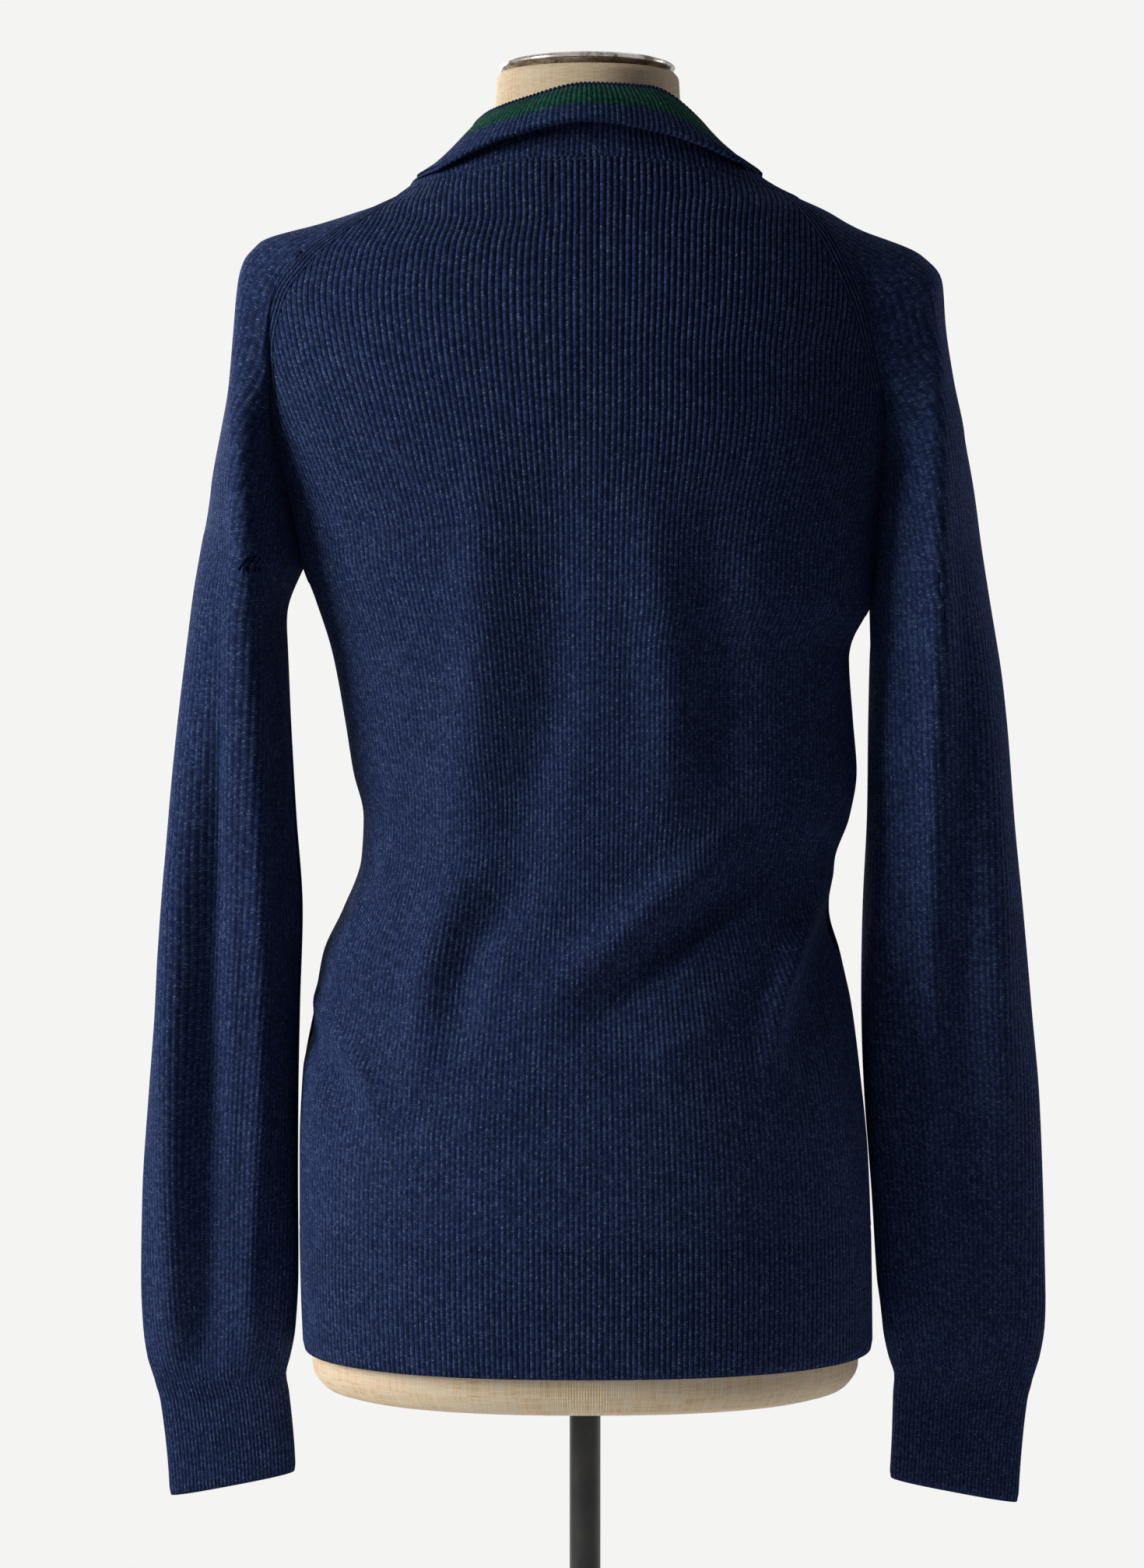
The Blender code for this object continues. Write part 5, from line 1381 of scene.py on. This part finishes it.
def thread_lines():
    """Two bars of thread on each button, from hole to hole."""
    lines = []
    first, second, third, fourth = hole_places()
    face = Vector((0.0, 0.0, BUTTON_FACE + 0.0002))
    for seat, turn in button_seats():
        for start, end in ((first, third), (second, fourth)):
            middle = seat + turn @ (face + (start + end) * 0.5)
            way = turn @ (end - start).normalized()
            lines.append(([middle, middle + way * 0.0002], [way] * 2, [turn.col[2]] * 2))
    return lines


BUTTONHOLE_HALF = (0.0011, 0.0108)        # half width and half length of an upright buttonhole
BUTTONHOLE_STEPS = 32


def buttonhole_lines():
    """Overcast edges of the buttonholes, which show a little above and below each button."""
    lines = []
    half_x, half_z = BUTTONHOLE_HALF
    for seat, turn in button_seats():
        places, ways = [], []
        for step in range(BUTTONHOLE_STEPS + 1):
            angle = 2.0 * math.pi * step / BUTTONHOLE_STEPS
            place = Vector((half_x * math.cos(angle), half_z * math.sin(angle), 0.0))
            places.append(seat + turn @ (place + Vector((0.0, 0.0008, 0.0002))))
            ways.append(turn @ Vector((math.cos(angle), 0.10 * math.sin(angle), 0.0)).normalized())
        lines.append((places, ways, [turn.col[2]] * len(ways)))
    return lines


# ---- materials ----
class Maker(Graph):
    """One material and the nodes of its look."""

    def __init__(self, name):
        self.material = bpy.data.materials.new(name)
        self.material.use_nodes = True
        super().__init__(self.material.node_tree)
        self.shader = self.tree.nodes["Principled BSDF"]
        self.place = self.out("ShaderNodeTexCoord", output="Object")

    def mix(self, share, first, second, blend="MIX"):
        return self.out("ShaderNodeMix", {"Factor": share, "A": first, "B": second}, "Result",
                        data_type="RGBA", blend_type=blend)

    def shaded(self, colour, shade):
        return self.mix(1.0, colour, self.vector(shade, shade, shade), "MULTIPLY")

    def ramp(self, value, stops):
        made = self.node("ShaderNodeValToRGB", (value,))
        elements = made.color_ramp.elements
        while len(elements) < len(stops):
            elements.new(0.5)
        for element, (place, colour) in zip(elements, stops):
            element.position = place
            element.color = (*colour, 1.0)
        return Wire(self, made.outputs[0])

    def span(self, value, low, high, to_low=0.0, to_high=1.0):
        return self.out("ShaderNodeMapRange", (value, low, high, to_low, to_high),
                        interpolation_type="SMOOTHSTEP")

    def uv(self, name):
        return self.wires(self.node("ShaderNodeSeparateXYZ", (self.out("ShaderNodeUVMap", uv_map=name),)), 0, 1)

    def noise(self, place, scale, detail=3.0, roughness=0.6):
        return self.out("ShaderNodeTexNoise", {"Vector": place, "Scale": scale, "Detail": detail,
                                               "Roughness": roughness}, "Fac")

    def random(self, *place):
        return self.out("ShaderNodeTexWhiteNoise", {"Vector": self.vector(*place)}, "Value",
                        noise_dimensions="3D")

    def bump(self, height, distance, strength):
        self.put(self.out("ShaderNodeBump", {"Strength": strength, "Distance": distance, "Height": height}),
                 self.shader.inputs["Normal"])

    def finish(self, colour, roughness, **constants):
        for name, value in {"Base_Color": colour, "Roughness": roughness, **constants}.items():
            self.put(value, self.shader.inputs[name.replace("_", " ")])
        return self.material


NAVY = ((0.02, (0.0080, 0.0150, 0.0490)), (0.40, (0.0192, 0.0345, 0.1080)), (0.80, (0.0540, 0.0840, 0.2050)))
GREEN = ((0.02, (0.0020, 0.0210, 0.0120)), (0.40, (0.0045, 0.0680, 0.0390)), (0.80, (0.0180, 0.1400, 0.0850)))
LINEN = ((0.22, (0.66, 0.44, 0.24)), (0.52, (0.97, 0.74, 0.48)), (0.82, (0.99, 0.88, 0.70)))
FLOOR = ((0.3, (0.66, 0.66, 0.655)), (0.7, (0.70, 0.70, 0.695)))
FLECK = (0.170, 0.215, 0.330, 1.0)
FLECKS = 0.955                    # share of the yarn without a pale fleck
STITCH_SLANT = 0.55               # courses by which a stitch's legs rise across half a rib
VALLEY_SHADE = (0.44, 0.92, 0.94)       # where the painted shade in a rib's valley begins and is deepest, and how dark it is
THREAD = 0.00085                  # width of one thread of linen


def knit_material(name, stripe=None):
    """Heathered rib knit, with painted shade in its rib valleys and in the gaps between its stitch legs.
    `stripe` gives the courses, counted from the rim, between which it is green, and how many more courses of it
    show on the right of the neck; the courses between the rim and the green get painted shade."""
    make = Maker(name)
    ribs, courses = make.uv("knit")
    rib = math.floor(ribs)
    across = abs((ribs - rib) * 2.0 - 1.0)
    slanted = courses + across * STITCH_SLANT
    stitch = math.floor(slanted)
    leg = make.math("SINE", (slanted - stitch) * math.pi)
    own = make.random(rib, stitch, ribs - rib > 0.5)
    streak = make.noise(make.vector(ribs * 0.30, courses * 1.10), 1.0, 3.0, 0.65)
    cloud = make.noise(make.place, 34.0, 5.0, 0.65)
    tone = own * 0.45 + streak * 0.35 + (cloud - 0.5) * 0.3
    colour = make.ramp(tone, NAVY)
    rim = 1.0
    if stripe:
        first, last, more = stripe
        # painted shade: the courses between the collar's rim and its green stripe are darkened
        rim = make.span(courses, first - 0.8, first, 0.35, 1.0)
        low_edge = make.span(ribs - COLLAR_RIBS / 2.0, 10.0, 32.0, 0.0, more) + last
        colour = make.mix((courses > first) * (courses < low_edge), colour, make.ramp(tone, GREEN))
    speck = make.random(math.floor(ribs * 6.0), math.floor(courses * 3.0), 7.0)
    colour = make.mix((speck > FLECKS) * make.span(own, 0.2, 0.9, 0.15, 0.75), colour, FLECK)
    depth = make.out("ShaderNodeAttribute", output="Fac", attribute_name="rib_depth")
    begins, deepest, dark = VALLEY_SHADE
    # painted shade: rib valleys darkened, more where the ribs stand higher
    valley = make.span(across, begins, deepest, 0.0, dark) * depth
    # painted shade in the gaps between stitch legs
    gap = make.span(leg, 0.0, 0.6, 0.42, 0.0) * (1.0 - valley * 0.5)
    colour = make.shaded(colour, (1.0 - valley) * (1.0 - gap) * rim)
    fuzz = make.noise(make.place, 2600.0, 2.0, 0.5)
    make.bump(leg * (1.0 - across) + fuzz * 0.35, 0.0005, 0.8)
    return make.finish(colour, 0.95, Sheen_Weight=0.04, Sheen_Roughness=0.5,
                       Sheen_Tint=(0.30, 0.42, 0.80, 1.0), Specular_IOR_Level=0.06)


def linen_material():
    """Natural linen, plain weave with uneven threads, with painted shade in the gaps between them."""
    make = Maker("linen_weave")
    u, v = (length * (1.0 / THREAD) for length in make.uv("weave"))
    weave = abs(make.math("SINE", u * math.pi) * make.math("SINE", v * math.pi))
    warp = make.random(math.floor(u), math.floor(v * 0.08), 3.0)
    weft = make.random(math.floor(u * 0.08), math.floor(v), 5.0)
    slub = make.noise(make.vector(u * 0.05, v * 0.6), 1.0, 4.0, 0.7)
    cloud = make.noise(make.place, 16.0, 4.0, 0.6)
    tone = (warp + weft) * 0.22 + slub * 0.35 + cloud * 0.35
    # painted shade in the gaps between the threads of the weave
    colour = make.shaded(make.ramp(tone, LINEN), make.span(weave, 0.0, 0.5, 0.72, 1.0))
    make.bump(weave + slub * 0.8, 0.0003, 0.8)
    return make.finish(colour, 0.88, Sheen_Weight=0.15, Specular_IOR_Level=0.2)


def chrome_material():
    """Old chrome plate, scuffed and dulled in patches."""
    make = Maker("worn_chrome")
    patch = make.noise(make.place, 70.0, 6.0, 0.7)
    scuff = make.noise(make.place, 420.0, 3.0, 0.8)
    worn = make.span(patch + scuff * 0.25, 0.52, 0.78)
    make.bump(patch + scuff, 0.0002, 0.35)
    return make.finish(make.mix(worn, (0.42, 0.40, 0.38, 1.0), (0.10, 0.075, 0.06, 1.0)), worn * 0.40 + 0.16,
                       Metallic=1.0)


def iron_material():
    """Black lacquered iron with a little dust and wear."""
    make = Maker("black_lacquer")
    dust = make.noise(make.place, 60.0, 6.0, 0.7)
    make.bump(make.noise(make.place, 900.0, 2.0, 0.6), 0.0001, 0.3)
    return make.finish(make.ramp(dust, ((0.35, (0.007, 0.007, 0.008)), (0.75, (0.028, 0.027, 0.026)))),
                       dust * 0.30 + 0.25, Specular_IOR_Level=0.3, Coat_Weight=0.05, Coat_Roughness=0.3)


def button_material():
    """Polished dark blue button with faint swirls."""
    make = Maker("dark_button")
    swirl = make.noise(make.place, 240.0, 4.0, 0.6)
    colour = make.ramp(swirl, ((0.35, (0.007, 0.010, 0.024)), (0.68, (0.022, 0.030, 0.062))))
    return make.finish(colour, swirl * 0.2 + 0.16, Coat_Weight=0.3)


def yarn_material():
    """Twisted sewing yarn in navy."""
    make = Maker("navy_yarn")
    twist = make.noise(make.place, 1800.0, 2.0, 0.5)
    make.bump(twist, 0.0001, 0.6)
    return make.finish(make.ramp(twist, ((0.3, (0.0165, 0.0264, 0.06875)), (0.7, (0.030, 0.048, 0.125)))), 0.8,
                       Sheen_Weight=0.2)


# ---- camera, light and floor ----
FLOOR_R = 1.6
FLOOR_UNDER = 0.0005      # how far the floor lies under the foot


def aimed(name, data, place, aim):
    made = linked(name, data)
    made.location = place
    made.rotation_euler = (Vector(aim) - Vector(place)).to_track_quat("-Z", "Y").to_euler()
    return made


def make_camera():
    data = bpy.data.cameras.new("camera")
    data.lens = CAMERA_LENS
    data.sensor_width = 36.0
    bpy.context.scene.camera = aimed("camera", data, CAMERA_PLACE, CAMERA_AIM)


def make_light(name, place, aim, size, power, colour=(1.0, 1.0, 1.0)):
    data = bpy.data.lights.new(name, "AREA")
    data.shape = "RECTANGLE"
    data.size, data.size_y = size
    data.energy = power
    data.color = colour
    aimed(name, data, place, aim)


def make_world():
    """A weak fill all round; the camera and reflections see a pale background instead."""
    world = bpy.data.worlds.new("pale_room")
    bpy.context.scene.world = world
    world.use_nodes = True
    graph = Graph(world.node_tree)
    fill, seen = (graph.out("ShaderNodeBackground", (colour, strength)) for colour, strength in (
        ((0.95, 0.97, 1.0, 1.0), 0.062), ((0.905, 0.905, 0.895, 1.0), 1.0)))
    rays = graph.wires(graph.node("ShaderNodeLightPath"), "Is Camera Ray", "Is Glossy Ray")
    mixed = graph.out("ShaderNodeMixShader", (graph.math("MAXIMUM", *rays), fill, seen))
    graph.put(mixed, world.node_tree.nodes["World Output"].inputs["Surface"])


def make_room():
    """Pale floor and background, a soft window-like light from the left and weaker ones round it."""
    bpy.context.scene.view_settings.view_transform = "Standard"
    make_world()
    make_light("window", (-2.30, -0.90, 1.72), (0.0, 0.0, 1.02), (1.1, 1.4), 74.0, (1.0, 0.985, 0.96))
    make_light("right_edge", (2.5, 0.9, 1.3), (0.0, 0.0, 0.9), (1.0, 1.6), 17.0)
    make_light("front_fill", (-1.4, 2.7, 1.8), (0.0, 0.0, 0.95), (1.6, 1.6), 95.0)
    pale = Maker("pale_floor")
    tone = pale.ramp(pale.noise(pale.place, 30.0, 4.0, 0.5), FLOOR)
    mesh = bpy.data.meshes.new("floor")
    builder = bmesh.new()
    bmesh.ops.create_circle(builder, cap_ends=True, radius=FLOOR_R, segments=128)
    builder.to_mesh(mesh)
    builder.free()
    made = shown_object("floor", mesh, pale.finish(tone, 0.7, Emission_Color=(1.0, 1.0, 0.99, 1.0),
                                                   Emission_Strength=0.16))
    made.location.z = -FLOOR_UNDER


# ---- the whole ----
def placed(piece, nodes):
    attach(piece, "root")
    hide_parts(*nodes)
    return piece


def dress():
    """Every visible piece, with the solids that it replaces and each sheet's flat size."""
    knit = knit_material("navy_heather_rib")
    collar_knit = knit_material("navy_rib_with_green_stripe", (2.3, 15.5, 6.5))
    linen, chrome, iron = linen_material(), chrome_material(), iron_material()

    torso = placed(make_torso(linen), ["form_torso"])
    disc, pole, foot = make_stand(iron, chrome)
    placed(disc, ["neck_cap"])
    placed(pole, ["stand_pole"])
    placed(foot, ["stand_foot"])

    # name, shells, solid, flat size, and flat area where it isn't the full one
    cloth = (
        ("back", back_sheets(), "back_panel", (0.50, 0.62), 0.255),
        ("front_l", front_sheets(-1), "front_left", (0.24, 0.58), 0.12),
        ("front_r", front_sheets(1), "front_right", (0.24, 0.58), 0.12),
        ("hem_b", [hem_sheet(-1, (-1, 1))], "hem_back", (0.51, 0.072), None),
        ("hem_l", [hem_sheet(1, (-1,))], "hem_left", (0.24, 0.072), None),
        ("hem_r", [hem_sheet(1, (1,))], "hem_right", (0.24, 0.072), None),
        ("sleeve_l", [sleeve_sheet(-1)], "sleeve_left", (0.33, 0.70), 0.17),
        ("sleeve_r", [sleeve_sheet(1)], "sleeve_right", (0.34, 0.70), 0.17),
        ("cuff_l", [cuff_sheet(-1)], "cuff_left", (0.17, 0.063), None),
        ("cuff_r", [cuff_sheet(1)], "cuff_right", (0.17, 0.067), None),
        ("stand_collar", [collar_sheet()], "collar", (0.62, 0.065), None),
        ("band_l", [band_sheet(-1)], "band_left", (0.03, 0.61), None),
        ("band_r", [band_sheet(1)], "band_right", (0.03, 0.61), None),
    )
    pieces = [knit_object(name, sheets, collar_knit if node == "collar" else knit)
              for name, sheets, node, *_ in cloth]
    placed(make_buttons(button_material()), ["button_%d" % (index + 1) for index in range(BUTTON_COUNT)])
    # on each of these solids: name, lines, and the spacing, length, yarn radius and slant of the stitches
    seams = {
        "collar": ("neck_stitches", neck_lines(), 0.0034, 0.0030, 0.00042, 0.0008),
        "band_left": ("band_stitches_l", band_lines(-1, 2.0 * BAND_HALF) + buttonhole_lines(),
                      0.0016, 0.0017, 0.00032, 0.0003),
        "band_right": ("band_stitches_r", band_lines(1, 2.0 * BAND_HALF - UNDER_LAP),
                       0.0031, 0.0026, 0.00032, 0.0006),
        None: ("button_threads", thread_lines(), 0.01, 0.0042, 0.00036, 0.0),
    }
    tree = stitch_tree()
    yarn = yarn_material()
    for node, (name, lines, spacing, length, radius, slant) in seams.items():
        piece = stitched(tree, name, lines, spacing=spacing, length=length, yarn_radius=radius, slant=slant,
                         material=yarn)
        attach(piece, "root")
    for piece, (_, _, node, flat, area) in zip(pieces, cloth):
        placed(piece, [node])


make_camera()
dress()
make_room()
